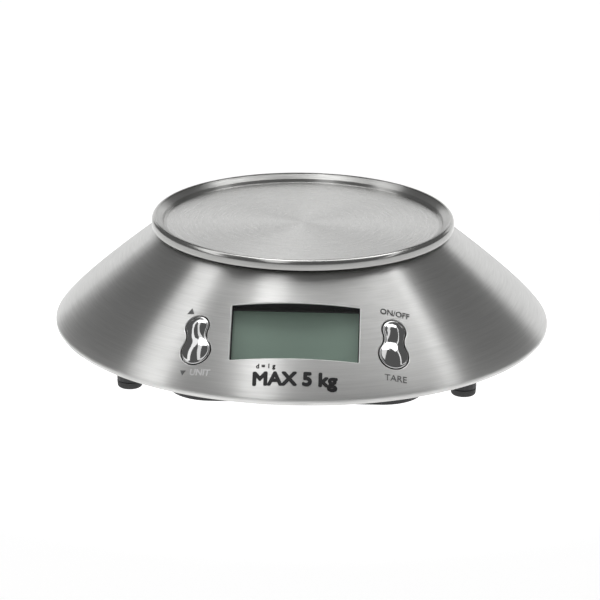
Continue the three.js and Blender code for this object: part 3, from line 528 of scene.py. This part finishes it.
CONSOLE_RADIUS = np.interp(CONSOLE_HEIGHT, CURVE[:, 1], CURVE[:, 0])
CONSOLE_SLOPE = float(dome_slope(CONSOLE_RADIUS))
console_spot = np.array([0, -CONSOLE_RADIUS, CONSOLE_HEIGHT])
console_axes = np.array([[1, 0, 0], [0, math.cos(CONSOLE_SLOPE), math.sin(CONSOLE_SLOPE)],
                         [0, -math.sin(CONSOLE_SLOPE), math.cos(CONSOLE_SLOPE)]])


def key_frame(side):
    """A frame on the dome beside the display: out of the surface, and as near up the slope as fits."""
    flat = np.array([[side * KEY_SPACING, -KEY_DROP]])
    height = dome_below(console_spot, console_axes, flat)
    spot = in_frame(np.column_stack([flat, height]), console_spot, console_axes)[0]
    radius = math.hypot(spot[0], spot[1])
    slope = float(dome_slope(radius))
    out = np.array([*(spot[:2] / radius * math.sin(slope)), math.cos(slope)])
    sideways = unit(np.cross(console_axes[1], out))
    return spot, np.array([sideways, np.cross(out, sideways), out])


key_frames = {"left": key_frame(-1), "right": key_frame(1)}
print("display slope", round(math.degrees(CONSOLE_SLOPE), 1), "degrees")
print("left key at", key_frames["left"][0].round(1), "mm")

# %% [markdown]
# ## Outlines
# The window is a rectangle with barely rounded corners. A key is a figure of eight: a big lower lobe
# and a smaller upper one, joined by two hollow arcs that touch both. Moving the whole outline out by
# an offset grows the lobes and shrinks the hollows, so the hole, the key and its flange share it.


# %% Outlines
def rectangle_outline(width, height, corner, offset=0.0, steps=7):
    """A rounded rectangle (n, 2), anticlockwise, moved out by an offset, with extra points along its
    sides so that it can follow a curved face."""
    half = np.array([width / 2 - corner, height / 2 - corner])
    signs = [(1, 1), (-1, 1), (-1, -1), (1, -1)]
    corners = [arc(half * sign, corner + offset, 90 * i, 90 * i + 90, steps)
               for i, sign in enumerate(signs)]
    share = np.linspace(0, 1, 26)[1:-1, None]
    sides = [corners[i][-1] * (1 - share) + corners[(i + 1) % 4][0] * share for i in range(4)]
    return np.concatenate([part for pair in zip(corners, sides) for part in pair])


def eight_sizes():
    """The hollow arcs' radius and places. A hollow centre is one radius beyond the waist, and lies a
    lobe radius plus a hollow radius from each lobe's centre: two equations for radius and height."""
    base = (KEY_LOWER**2 - KEY_UPPER**2 + KEY_LOBES**2) / (2 * KEY_LOBES)
    lean = (KEY_LOWER - KEY_UPPER) / KEY_LOBES
    linear = 2 * base * lean - 2 * (KEY_LOWER - KEY_WAIST)
    constant = base**2 - KEY_LOWER**2 + KEY_WAIST**2
    hollow = (-linear - math.sqrt(linear**2 - 4 * lean**2 * constant)) / (2 * lean**2)
    lower = -(KEY_LOWER + KEY_LOBES + KEY_UPPER) / 2 + KEY_LOWER
    return hollow, lower, lower + KEY_LOBES, lower + base + lean * hollow


HOLLOW, LOWER_Y, UPPER_Y, WAIST_Y = eight_sizes()


def eight_outline(offset=0.0, steps=40):
    """The figure of eight (n, 2), anticlockwise from the lower left, and the point of its spine that
    each outline point belongs to: a lobe's centre, or a place between the two along the waist."""
    centre_x = KEY_WAIST + HOLLOW
    low = math.degrees(math.atan2(WAIST_Y - LOWER_Y, centre_x))
    high = math.degrees(math.atan2(UPPER_Y - WAIST_Y, centre_x))
    lower = arc((0, LOWER_Y), KEY_LOWER + offset, 180 - low, 360 + low, steps)
    right_side = arc((centre_x, WAIST_Y), HOLLOW - offset, 180 + low, 180 - high, steps // 2)
    upper = arc((0, UPPER_Y), KEY_UPPER + offset, -high, 180 + high, steps)
    left_side = arc((-centre_x, WAIST_Y), HOLLOW - offset, high, -low, steps // 2)
    outline = np.concatenate([lower[:-1], right_side[:-1], upper[:-1], left_side[:-1]])
    rise = np.linspace(LOWER_Y, UPPER_Y, steps // 2)[:-1]
    spine_y = np.concatenate([np.full(steps - 1, LOWER_Y), rise, np.full(steps - 1, UPPER_Y),
                              (LOWER_Y + UPPER_Y) - rise])
    return outline, np.column_stack([np.zeros(len(spine_y)), spine_y])


print("hollow radius", round(HOLLOW, 2), "mm, waist at", round(WAIST_Y, 2), "mm")

# %% [markdown]
# ## The dome
# The real cover is spun from 0.8 mm sheet, then the window and key holes are punched through it. The
# punch leaves a soft rounded edge that catches the light as a thin bright line, which a pale rough
# finish on that edge paints brighter, a painted highlight. The mesh is made the same way: the profile is
# carried round, and three punches are cut out of it. Each punch follows the dome's face and flares where
# it leaves the metal, which leaves the rounded edge behind.


# %% Punch helpers
PUNCH_DEPTH, PUNCH_RISE = 6, 5
WINDOW_EDGE, KEY_HOLE_EDGE = 0.6, 0.5
NEAR_FACE, NEAR_EDGE = 0.05, 0.9
SAME_WAY = 0.985
EDGE_LEAN, WALL_LEAN = 12, 80


def punch(name, outline, spot, axes, edge):
    """A solid whose wall follows an outline: straight down inside, then round an arc of the edge's
    radius just under the dome's face, and out past it at 30 degrees. outline(offset) gives the shape
    moved out, and each ring's height is measured from the dome's face below it."""
    turns = np.radians([0, 15, 30, 45, 60])
    offsets = list(edge * (1 - np.cos(turns)))
    heights = list(edge * (np.sin(turns) - 1))
    offsets += [offsets[-1] + edge * math.cos(math.radians(30))]
    heights += [heights[-1] + edge * 0.5]
    rings = []
    for offset, height in zip(offsets, heights):
        flat = outline(offset)
        rings.append(np.column_stack([flat, dome_below(spot, axes, flat) + height]))
    rings.insert(0, rings[0] + [0, 0, -PUNCH_DEPTH])
    rings.append(rings[-1] + [0, 0, PUNCH_RISE])
    count = len(rings[0])
    middles = [ring.mean(axis=0) for ring in (rings[0], rings[-1])]
    local = np.concatenate([*rings, middles])
    faces = grid_faces(len(rings), count)
    walls = np.concatenate([faces[:, [0, 1, 2]], faces[:, [0, 2, 3]]])
    ring = np.arange(count)
    after = (ring + 1) % count
    top = (len(rings) - 1) * count
    bottom_cap = np.column_stack([after, ring, np.full(count, len(rings) * count)])
    top_cap = np.column_stack([ring + top, after + top, np.full(count, len(rings) * count + 1)])
    return mesh_object(name, in_frame(local, spot, axes), np.concatenate([walls, bottom_cap, top_cap]))


def cut_away(piece, tools):
    """Take the tools away from the piece for good, and keep its sharp edges sharp."""
    for tool in tools:
        hole = piece.modifiers.new(tool.name, "BOOLEAN")
        hole.operation, hole.solver, hole.object = "DIFFERENCE", "EXACT", tool
    finished = piece.evaluated_get(bpy.context.evaluated_depsgraph_get())
    piece.data = bpy.data.meshes.new_from_object(finished)
    piece.modifiers.clear()
    for tool in tools:
        bpy.data.objects.remove(tool)
    sharpen(piece, 28)


def dome_face(points):
    """The radius of points (n, 3) in millimetres, the direction straight out of the dome's face at that
    radius, which leans out by the slope there, and how far above or below the face each point is."""
    radius = np.hypot(points[:, 0], points[:, 1])
    slope = dome_slope(radius)[:, None]
    out = np.column_stack([points[:, :2] / radius[:, None] * np.sin(slope), np.cos(slope)])
    return radius, out, np.abs(points[:, 2] - dome_height(radius))


def dome_normals(piece):
    """Give the outer face its true normals, so that cut faces shade as smoothly as whole ones."""
    mesh = piece.data
    points = np.zeros(len(mesh.vertices) * 3)
    mesh.vertices.foreach_get("co", points)
    corner_point, normals = np.zeros(len(mesh.loops), np.int32), np.zeros(len(mesh.loops) * 3)
    mesh.loops.foreach_get("vertex_index", corner_point)
    mesh.corner_normals.foreach_get("vector", normals)
    normals = normals.reshape(-1, 3)
    radius, true, away = dome_face(points.reshape(-1, 3)[corner_point] / MM)
    on_curve = (radius > CURVE[-1, 0]) & (radius < CURVE[0, 0]) & (away < NEAR_FACE)
    on_curve &= np.sum(true * normals, axis=1) > SAME_WAY
    normals[on_curve] = true[on_curve]
    mesh.normals_split_custom_set([tuple(normal) for normal in normals])
    return int(on_curve.sum())


def punched_edges(piece):
    """The rounded edges are where a face near the dome's outside leans away from the dome's own slope
    there by between the edge and the wall angle. They wear the second finish, a painted highlight."""
    mesh = piece.data
    radius, true, away = dome_face(face_values(mesh, "center") / MM)
    agree = np.sum(true * face_values(mesh, "normal"), axis=1)
    edge = (radius > CURVE[-1, 0] + 1) & (radius < CURVE[0, 0] - 1) & (away < NEAR_EDGE)
    edge &= (agree < math.cos(math.radians(EDGE_LEAN))) & (agree > math.cos(math.radians(WALL_LEAN)))
    mesh.polygons.foreach_set("material_index", edge.astype(np.int32))


print("punch helpers ready")

# %% [markdown]
# ## Cut the dome
# The profile runs over the outside from the rim to the shoulder, down the lip of the opening, back
# along the inside, and ends at the hem under the rim.

# %% Dome
outer = dome_profile(0, 12, 30, 6)
inner = dome_profile(STEEL, 6, 16, 4)[::-1]
lip_bottom = SHOULDER_HEIGHT - OPENING_LIP
lip = np.concatenate([
    arc((OPENING_RADIUS + STEEL, SHOULDER_HEIGHT - STEEL), STEEL, 90, 180, 5),
    [[OPENING_RADIUS, lip_bottom], [OPENING_RADIUS + STEEL, lip_bottom],
     [OPENING_RADIUS + STEEL, SHOULDER_HEIGHT - STEEL]]])
hem = [[HEM_RADIUS, RIM_HEIGHT + STEEL], [HEM_RADIUS, RIM_HEIGHT]]
dome = turned("dome", np.concatenate([outer, lip, inner, hem]))


def window_hole(offset):
    """The window's outline moved out by an offset."""
    return rectangle_outline(WINDOW_WIDTH, WINDOW_HEIGHT, WINDOW_CORNER, offset)


def key_hole(offset):
    """A key's outline moved out by the gap round the key and an offset."""
    return eight_outline(KEY_GAP + offset)[0]


tools = [punch("window_punch", window_hole, console_spot, console_axes, WINDOW_EDGE)]
for side, (spot, axes) in key_frames.items():
    tools.append(punch(f"{side}_key_punch", key_hole, spot, axes, KEY_HOLE_EDGE))
cut_away(dome, tools)
fixed = dome_normals(dome)
wear(dome, dome_steel)
# The second finish paints a highlight along the punched edges.
dome.data.materials.append(edge_painted_highlight)
punched_edges(dome)
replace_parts(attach(dome, "housing"), "cover")
print("dome:", len(dome.data.polygons), "faces,", fixed, "corners given true normals")

# %% [markdown]
# ## The weighing plate
# The plate is a pressed dish: a flat floor, a short steep step, a sloping wall, a narrow rounded rim
# and a short skirt that hides the dome's opening. All the rounded corners matter, because each one
# gathers the light into its own thin line.

# %% Plate
PLATE_CORNERS = [(72.4, 60.7, 0.3), (PLATE_RADIUS, 60.7, 0.3), (73.05, 65.5, 2.2),
                 (71.5, 65.5, 0.6), (67.9, 63.25, 0.35), (67.35, PLATE_FLOOR, 0.4)]
PLATE_INNER = [(67.95, 60.8, 0.3), (68.5, 62.5, 0.3), (71.6, 64.5, 0.6), (72.4, 64.5, 0.7)]
FLOOR_START, FLOOR_MARGIN, SKIRT_FROM = 66, 1.5, 71.5


def rounded(corners, closed=True, steps=8):
    """A path (n, 2) through corners given as x, y and radius. Each corner becomes an arc that touches
    both of its sides: it starts one tangent length, radius over the tangent of half the angle between
    the sides, before the corner, and ends as far after it."""
    places = np.array([corner[:2] for corner in corners], float)
    path = []
    for i, (x, y, radius) in enumerate(corners):
        here = places[i]
        before, after = places[i - 1] - here, places[(i + 1) % len(corners)] - here
        if radius == 0 or (not closed and i in (0, len(corners) - 1)):
            path.append([here])
            continue
        before, after = unit(before), unit(after)
        half = math.acos(np.clip(before @ after, -1, 1)) / 2
        middle = before + after
        centre = here + middle / np.linalg.norm(middle) * radius / math.sin(half)
        start = here + before * radius / math.tan(half) - centre
        end = here + after * radius / math.tan(half) - centre
        first, last = math.atan2(start[1], start[0]), math.atan2(end[1], end[0])
        swing = (last - first + math.pi) % (2 * math.pi) - math.pi
        turn = first + swing * np.linspace(0, 1, steps)
        path.append(centre + radius * np.column_stack([np.cos(turn), np.sin(turn)]))
    return np.concatenate(path)


floor_radii = np.linspace(FLOOR_START, 0, 14)
path = [*PLATE_CORNERS, *[(r, PLATE_FLOOR, 0) for r in floor_radii],
        *[(r, PLATE_FLOOR - STEEL, 0) for r in floor_radii[::-1]], *PLATE_INNER]
plate = turned("plate", rounded(path))
sharpen(plate, 50)
wear(plate, wall_steel_painted_shade)
plate.data.materials.append(plate_steel)
plate.data.materials.append(skirt_steel_painted_shade)
middles = face_values(plate.data, "center") / MM
ring = np.hypot(middles[:, 0], middles[:, 1])
on_floor = ring < PLATE_FLOOR_RADIUS - FLOOR_MARGIN
# The floor keeps the plate steel. The wall and rim, and the skirt, take the darker copies, which paint
# shade on them.
zones = np.where(on_floor, 1, np.where(ring > SKIRT_FROM, 2, 0))
plate.data.polygons.foreach_set("material_index", zones.astype(np.int32))
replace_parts(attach(plate, "platform"), "weighing_plate")
print("plate:", len(plate.data.polygons), "faces,", int(on_floor.sum()), "on the floor")

# %% [markdown]
# ## The rocker keys
# Each key is a figure of eight, moulded and chromed. Its edge is rounded, its lobes are crowned like
# lenses for a fingertip, and a saddle joins them. Rings of points run in from the outline to a spine
# between the two lobe centres, so the same outline gives the flange, the side, the edge and the crown.

# %% Keys
KEY_EDGE, KEY_FLANGE, FLANGE_TOP, FLANGE_BOTTOM = 0.8, 0.9, -2.4, -3.8
KEY_SIDE, KEY_SHOULDER, KEY_CROWN, KEY_SADDLE = -1.2, 0.2, 1.9, 1.0


def key_cap(name, spot, axes):
    """Rings of the outline at each offset and height: the flange, the side, a quarter round, and then
    a crown that rises from the shoulder to the spine as 1 - (1 - t) squared. Along the spine the
    height falls from the lobes to the saddle as the square of a sine."""
    round_over = np.radians(np.linspace(0, 90, 8))
    offsets = [KEY_FLANGE, KEY_FLANGE, 0, 0, *(-KEY_EDGE * (1 - np.cos(round_over)))]
    heights = [FLANGE_BOTTOM, FLANGE_TOP, FLANGE_TOP, KEY_SIDE,
               *(KEY_SHOULDER - KEY_EDGE * (1 - np.sin(round_over)))]
    rings = [np.column_stack([eight_outline(o)[0], np.full(len(eight_outline(o)[0]), h)])
             for o, h in zip(offsets, heights)]
    spine = eight_outline()[1]
    share = (spine[:, 1] - LOWER_Y) / KEY_LOBES
    top = KEY_CROWN - (KEY_CROWN - KEY_SADDLE) * np.sin(np.pi * share) ** 2
    edge = rings[-1]
    for t in np.linspace(0, 1, 16)[1:]:
        flat = edge[:, :2] * (1 - t) + spine * t
        height = KEY_SHOULDER + (top - KEY_SHOULDER) * (1 - (1 - t) ** 2)
        rings.append(np.column_stack([flat, height]))
    under = np.column_stack([spine, np.full(len(spine), FLANGE_BOTTOM)])
    rings.insert(0, under)
    local = np.concatenate(rings)
    piece = mesh_object(name, in_frame(local, spot, axes), grid_faces(len(rings), len(spine)))
    weld(piece, 2e-3)
    sharpen(piece, 40)
    return piece


for side, (spot, axes) in key_frames.items():
    cap = key_cap(f"{side}_key_cap", spot, axes)
    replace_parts(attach(cap, f"{side}_rocker"), f"{side}_key")
print("key caps:", len(cap.data.polygons), "faces each")

# %% [markdown]
# ## The feet
# Each rubber foot is a short round pad with a softly rounded lower edge, on a stem that is pressed into
# the base. Its profile runs from the middle of the sole out and up to the top of the stem.

# %% Feet
STEM_RADIUS, STEM_TOP = 2.4, FOOT_HEIGHT + 4
foot_profile = rounded([(0, 0, 0), (FOOT_RADIUS - 0.3, 0, 1.3), (FOOT_RADIUS, FOOT_HEIGHT, 0.2),
                        (STEM_RADIUS, FOOT_HEIGHT, 0), (STEM_RADIUS, STEM_TOP, 0.4),
                        (0, STEM_TOP, 0)], closed=False)
foot_turn = math.radians(FOOT_ANGLE)
foot_place = FOOT_CIRCLE * np.array([math.cos(foot_turn), math.sin(foot_turn)])
foot_signs = {"front_left": (-1, -1), "front_right": (1, -1), "rear_left": (-1, 1), "rear_right": (1, 1)}
feet = []
for name, signs in foot_signs.items():
    foot = turned(f"{name}_pad", foot_profile, round_angles(64), foot_place * signs, closed=False)
    sharpen(foot, 35)
    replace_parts(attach(foot, "housing"), f"{name}_foot")
    feet.append(foot)
print("feet:", len(feet), "of", len(feet[0].data.polygons), "faces")

# %% [markdown]
# ## Printed words
# The keys and the display carry short printed words. A text curve gives the letters, they are made a
# thin solid mesh, and each point is then laid on the dome: its height is the dome's own height below
# the flat frame, with the printed side about an eighth of a millimetre proud, which the fine faces of
# the letters need to stay above the broader faces of the dome.

# %% Printed words
dark_ink = new_finish("dark_ink", (0.012, 0.012, 0.013), 0.45)[0]
grey_ink = new_finish("grey_ink", (0.12, 0.12, 0.12), 0.5)[0]
pale_ink = new_finish("pale_ink", (0.8, 0.8, 0.8), 0.4)[0]
INK_HEIGHT, INK_DEPTH = 0.12, 0.2


def letters(name, words):
    """Letters as a thin solid: points (n, 3) and triangles (m, 3), made a mesh at the origin."""
    curve = bpy.data.curves.new(name, "FONT")
    curve.body, curve.size, curve.align_x, curve.align_y = words, 1.0, "CENTER", "CENTER"
    curve.extrude, curve.resolution_u = 0.01, 4
    writing = bpy.data.objects.new(name, curve)
    bpy.context.scene.collection.objects.link(writing)
    shown = writing.evaluated_get(bpy.context.evaluated_depsgraph_get())
    mesh = bpy.data.meshes.new_from_object(shown)
    bpy.data.objects.remove(writing)
    mesh.calc_loop_triangles()
    points = np.zeros(len(mesh.vertices) * 3)
    faces = np.zeros(len(mesh.loop_triangles) * 3, np.int32)
    mesh.vertices.foreach_get("co", points)
    mesh.loop_triangles.foreach_get("vertices", faces)
    bpy.data.meshes.remove(mesh)
    return points.reshape(-1, 3), faces.reshape(-1, 3)


def printed(name, words, spot, axes, middle, height, ink, bold=0.0, turn=0.0, width=None):
    """Words centred on a place in a frame, scaled to a height and, if given, to a width, turned by
    degrees, and laid on the dome. Bold words are copies set off by a distance in eight directions."""
    points, faces = letters(name, words)
    low, high = points[:, :2].min(axis=0), points[:, :2].max(axis=0)
    flat = points[:, :2] - (low + high) / 2
    tall = height / (high - low)[1]
    flat *= [tall if width is None else width / (high - low)[0], tall]
    along, up_by = math.cos(math.radians(turn)), math.sin(math.radians(turn))
    flat = flat @ np.array([[along, up_by], [-up_by, along]]) + middle
    if bold:
        around = np.radians(np.arange(0, 360, 45))
        shifts = bold * np.column_stack([np.cos(around), np.sin(around)])
        faces = np.concatenate([faces + i * len(flat) for i in range(len(shifts))])
        points = np.tile(points, (len(shifts), 1))
        flat = np.concatenate([flat + shift for shift in shifts])
    level = dome_below(spot, axes, flat) + np.where(points[:, 2] > 0, INK_HEIGHT, -INK_DEPTH)
    points = in_frame(np.column_stack([flat, level]), spot, axes)
    piece = mesh_object(name, points, faces, smooth=False)
    wear(piece, ink)
    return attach(piece, "housing")


left_key, right_key = key_frames["left"], key_frames["right"]
display = (console_spot, console_axes)
words = [
    printed("words_capacity", "MAX 5 kg", *display, (0.9, -25.8), 8.2, dark_ink, 0.45, width=37.5),
    printed("words_step", "d = 1 g", *display, (-12.5, -18.9), 2.8, dark_ink, 0.1),
    printed("words_unit", "UNIT", *left_key, (2.7, -17.4), 3.0, pale_ink, 0.12, -9, 9.4),
    printed("words_on_off", "ON/OFF", *right_key, (0.4, 16.6), 2.9, grey_ink, 0.06, -1, 14.0),
    printed("words_tare", "TARE", *right_key, (1.2, -17.6), 3.0, grey_ink, 0.0, 1, 10.5),
]
print("printed:", ", ".join(word.name for word in words))

# %% [markdown]
# ## Printed marks
# A small triangle stands beside each end of the left key, one pointing up and one down.

# %% Printed marks
MARK_LEAN = 10


def triangle(name, middle, size, ink):
    """Three corners on a circle of the size, laid on the dome beside the left key in two layers. A size
    below nothing points down, which is half a turn more."""
    turn = np.radians(np.array([90, 210, 330]) + (0 if size > 0 else 180) - MARK_LEAN)
    flat = np.array(middle) + abs(size) * np.column_stack([np.cos(turn), np.sin(turn)])
    level = dome_below(*left_key, flat)
    layers = [in_frame(np.column_stack([flat, level + height]), *left_key)
              for height in (INK_HEIGHT, -INK_DEPTH)]
    faces = [[0, 1, 2], [5, 4, 3], *[[i, i + 3, (i + 1) % 3] for i in range(3)],
             *[[(i + 1) % 3, i + 3, (i + 1) % 3 + 3] for i in range(3)]]
    piece = mesh_object(name, np.concatenate(layers), faces, smooth=False)
    wear(piece, ink)
    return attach(piece, "housing")


marks = [triangle("mark_up", (-3.6, 15.6), 2.1, grey_ink),
         triangle("mark_down", (-5.6, -16.2), -1.6, grey_ink)]
print("marks:", len(marks))

# %% [markdown]
# ## Finishes for the solid parts
# The record says what each solid is made of, by slot. One finish per slot, put on every node of that
# slot, covers the inside as well as what shows.

# %% Slot finishes
slot_finishes = {
    "brushed_steel": dome_steel,
    "chrome": grained("chrome", (0.5, 0.5, 0.5), 0.07, 1.0, grain=1.5, bump=0.0005, tint=0.03),
    "plain_steel": grained("zinc_steel", (0.56, 0.57, 0.58), 0.36, 1.0, grain=0.3, bump=0.003),
    "aluminium": grained("milled_aluminium", (0.74, 0.75, 0.77), 0.34, 1.0, grain=0.3, bump=0.004,
                         stretch=(0.1, 1, 1)),
    "nickel": grained("nickel", (0.7, 0.68, 0.63), 0.25, 1.0, grain=0.4, bump=0.002),
    "black_plastic": grained("black_plastic", (0.022, 0.022, 0.024), 0.5, grain=0.25, bump=0.008,
                             tint=0.25),
    "rubber": grained("rubber", (0.04, 0.04, 0.041), 0.72, grain=0.35, bump=0.015, tint=0.3),
    "clear_lens": new_finish("clear_lens", (0.15, 0.15, 0.15), 0.02, Alpha=0.12, IOR=1.49)[0],
    "lcd_glass": grained("display_glass", (0.38, 0.54, 0.44), 0.4, grain=1.2, bump=0.0, tint=0.1),
    "circuit_board": grained("circuit_board", (0.03, 0.13, 0.06), 0.35, grain=0.8, bump=0.004,
                             tint=0.35),
    "brass": grained("brass", (0.72, 0.56, 0.28), 0.28, 1.0, grain=0.3, bump=0.002),
    "foam_tape": grained("foam_tape", (0.78, 0.77, 0.72), 0.8, grain=0.3, bump=0.03, tint=0.12),
    "silicone": grained("silicone", (0.82, 0.82, 0.8), 0.45, grain=1.5, bump=0.05, tint=0.05),
    "contact_strip": grained("contact_strip", (0.7, 0.66, 0.6), 0.6, grain=0.2, bump=0.01, tint=0.7,
                             stretch=(1, 0.05, 0.05)),
    "switch_metal": grained("switch_can", (0.62, 0.63, 0.64), 0.3, 1.0, grain=0.3, bump=0.002),
    "red_jacket": grained("red_vinyl", (0.36, 0.03, 0.025), 0.4, grain=0.6, bump=0.004, tint=0.15),
    "white_jacket": grained("white_vinyl", (0.75, 0.75, 0.72), 0.4, grain=0.6, bump=0.004),
    "cell_jacket": grained("cell_sleeve", (0.05, 0.14, 0.33), 0.28, grain=1.0, bump=0.002, tint=0.1),
}
slot_of = {part["node"]: part["material_slot"] for part in frame["record"]["subparts"]}
for name, solid in nodes.items():
    wear(solid, slot_finishes[slot_of[name]])
for side in key_frames:
    wear(bpy.data.objects[f"{side}_key_cap"], slot_finishes["chrome"])
for foot in feet:
    wear(foot, slot_finishes["rubber"])
print(len(slot_finishes), "finishes on", len(slot_of), "nodes")

# %% [markdown]
# ## The light table
# The floor glows softly, as a light table does. It glows more under and round the scale, a painted pool
# of light that washes out the scale's own shadow, so that only a faint shadow is left. The glow fades
# towards the front of the room, which keeps the front edges of the steel darker.

# %% Floor finish
floor_finish, floor_shader = new_finish("light_table", (0.5, 0.5, 0.5), 0.8)
floor_place = add_node(floor_finish, "ShaderNodeTexCoord").outputs["Object"]
floor_parts = add_node(floor_finish, "ShaderNodeSeparateXYZ", {0: floor_place})
away = add_node(floor_finish, "ShaderNodeVectorMath", {0: floor_place}, operation="LENGTH")
distance = away.outputs["Value"]


def smooth_fall(value, start, end, low, high):
    """Low up to the start and high past the end, with a smooth step between."""
    fade = {"Value": value, "From Min": start, "From Max": end, "To Min": low, "To Max": high}
    made = add_node(floor_finish, "ShaderNodeMapRange", fade, interpolation_type="SMOOTHSTEP")
    return made.outputs["Result"]


# Painted light: extra glow, full within 0.14 m of the middle and gone by 0.27 m, where the scale's
# shadow falls.
shadow_wash_glow = smooth_fall(distance, 0.14, 0.27, 0.55, 0.0)
room_glow = smooth_fall(floor_parts.outputs["Y"], -0.7, -0.3, 0.1, 0.6)
glow = calculate(floor_finish, "ADD", shadow_wash_glow, room_glow)
floor_shader.inputs["Emission Color"].default_value = (1, 1, 1, 1)
floor_finish.node_tree.links.new(glow, floor_shader.inputs["Emission Strength"])
wear(floor, floor_finish)
print("floor glows, and more under the scale")
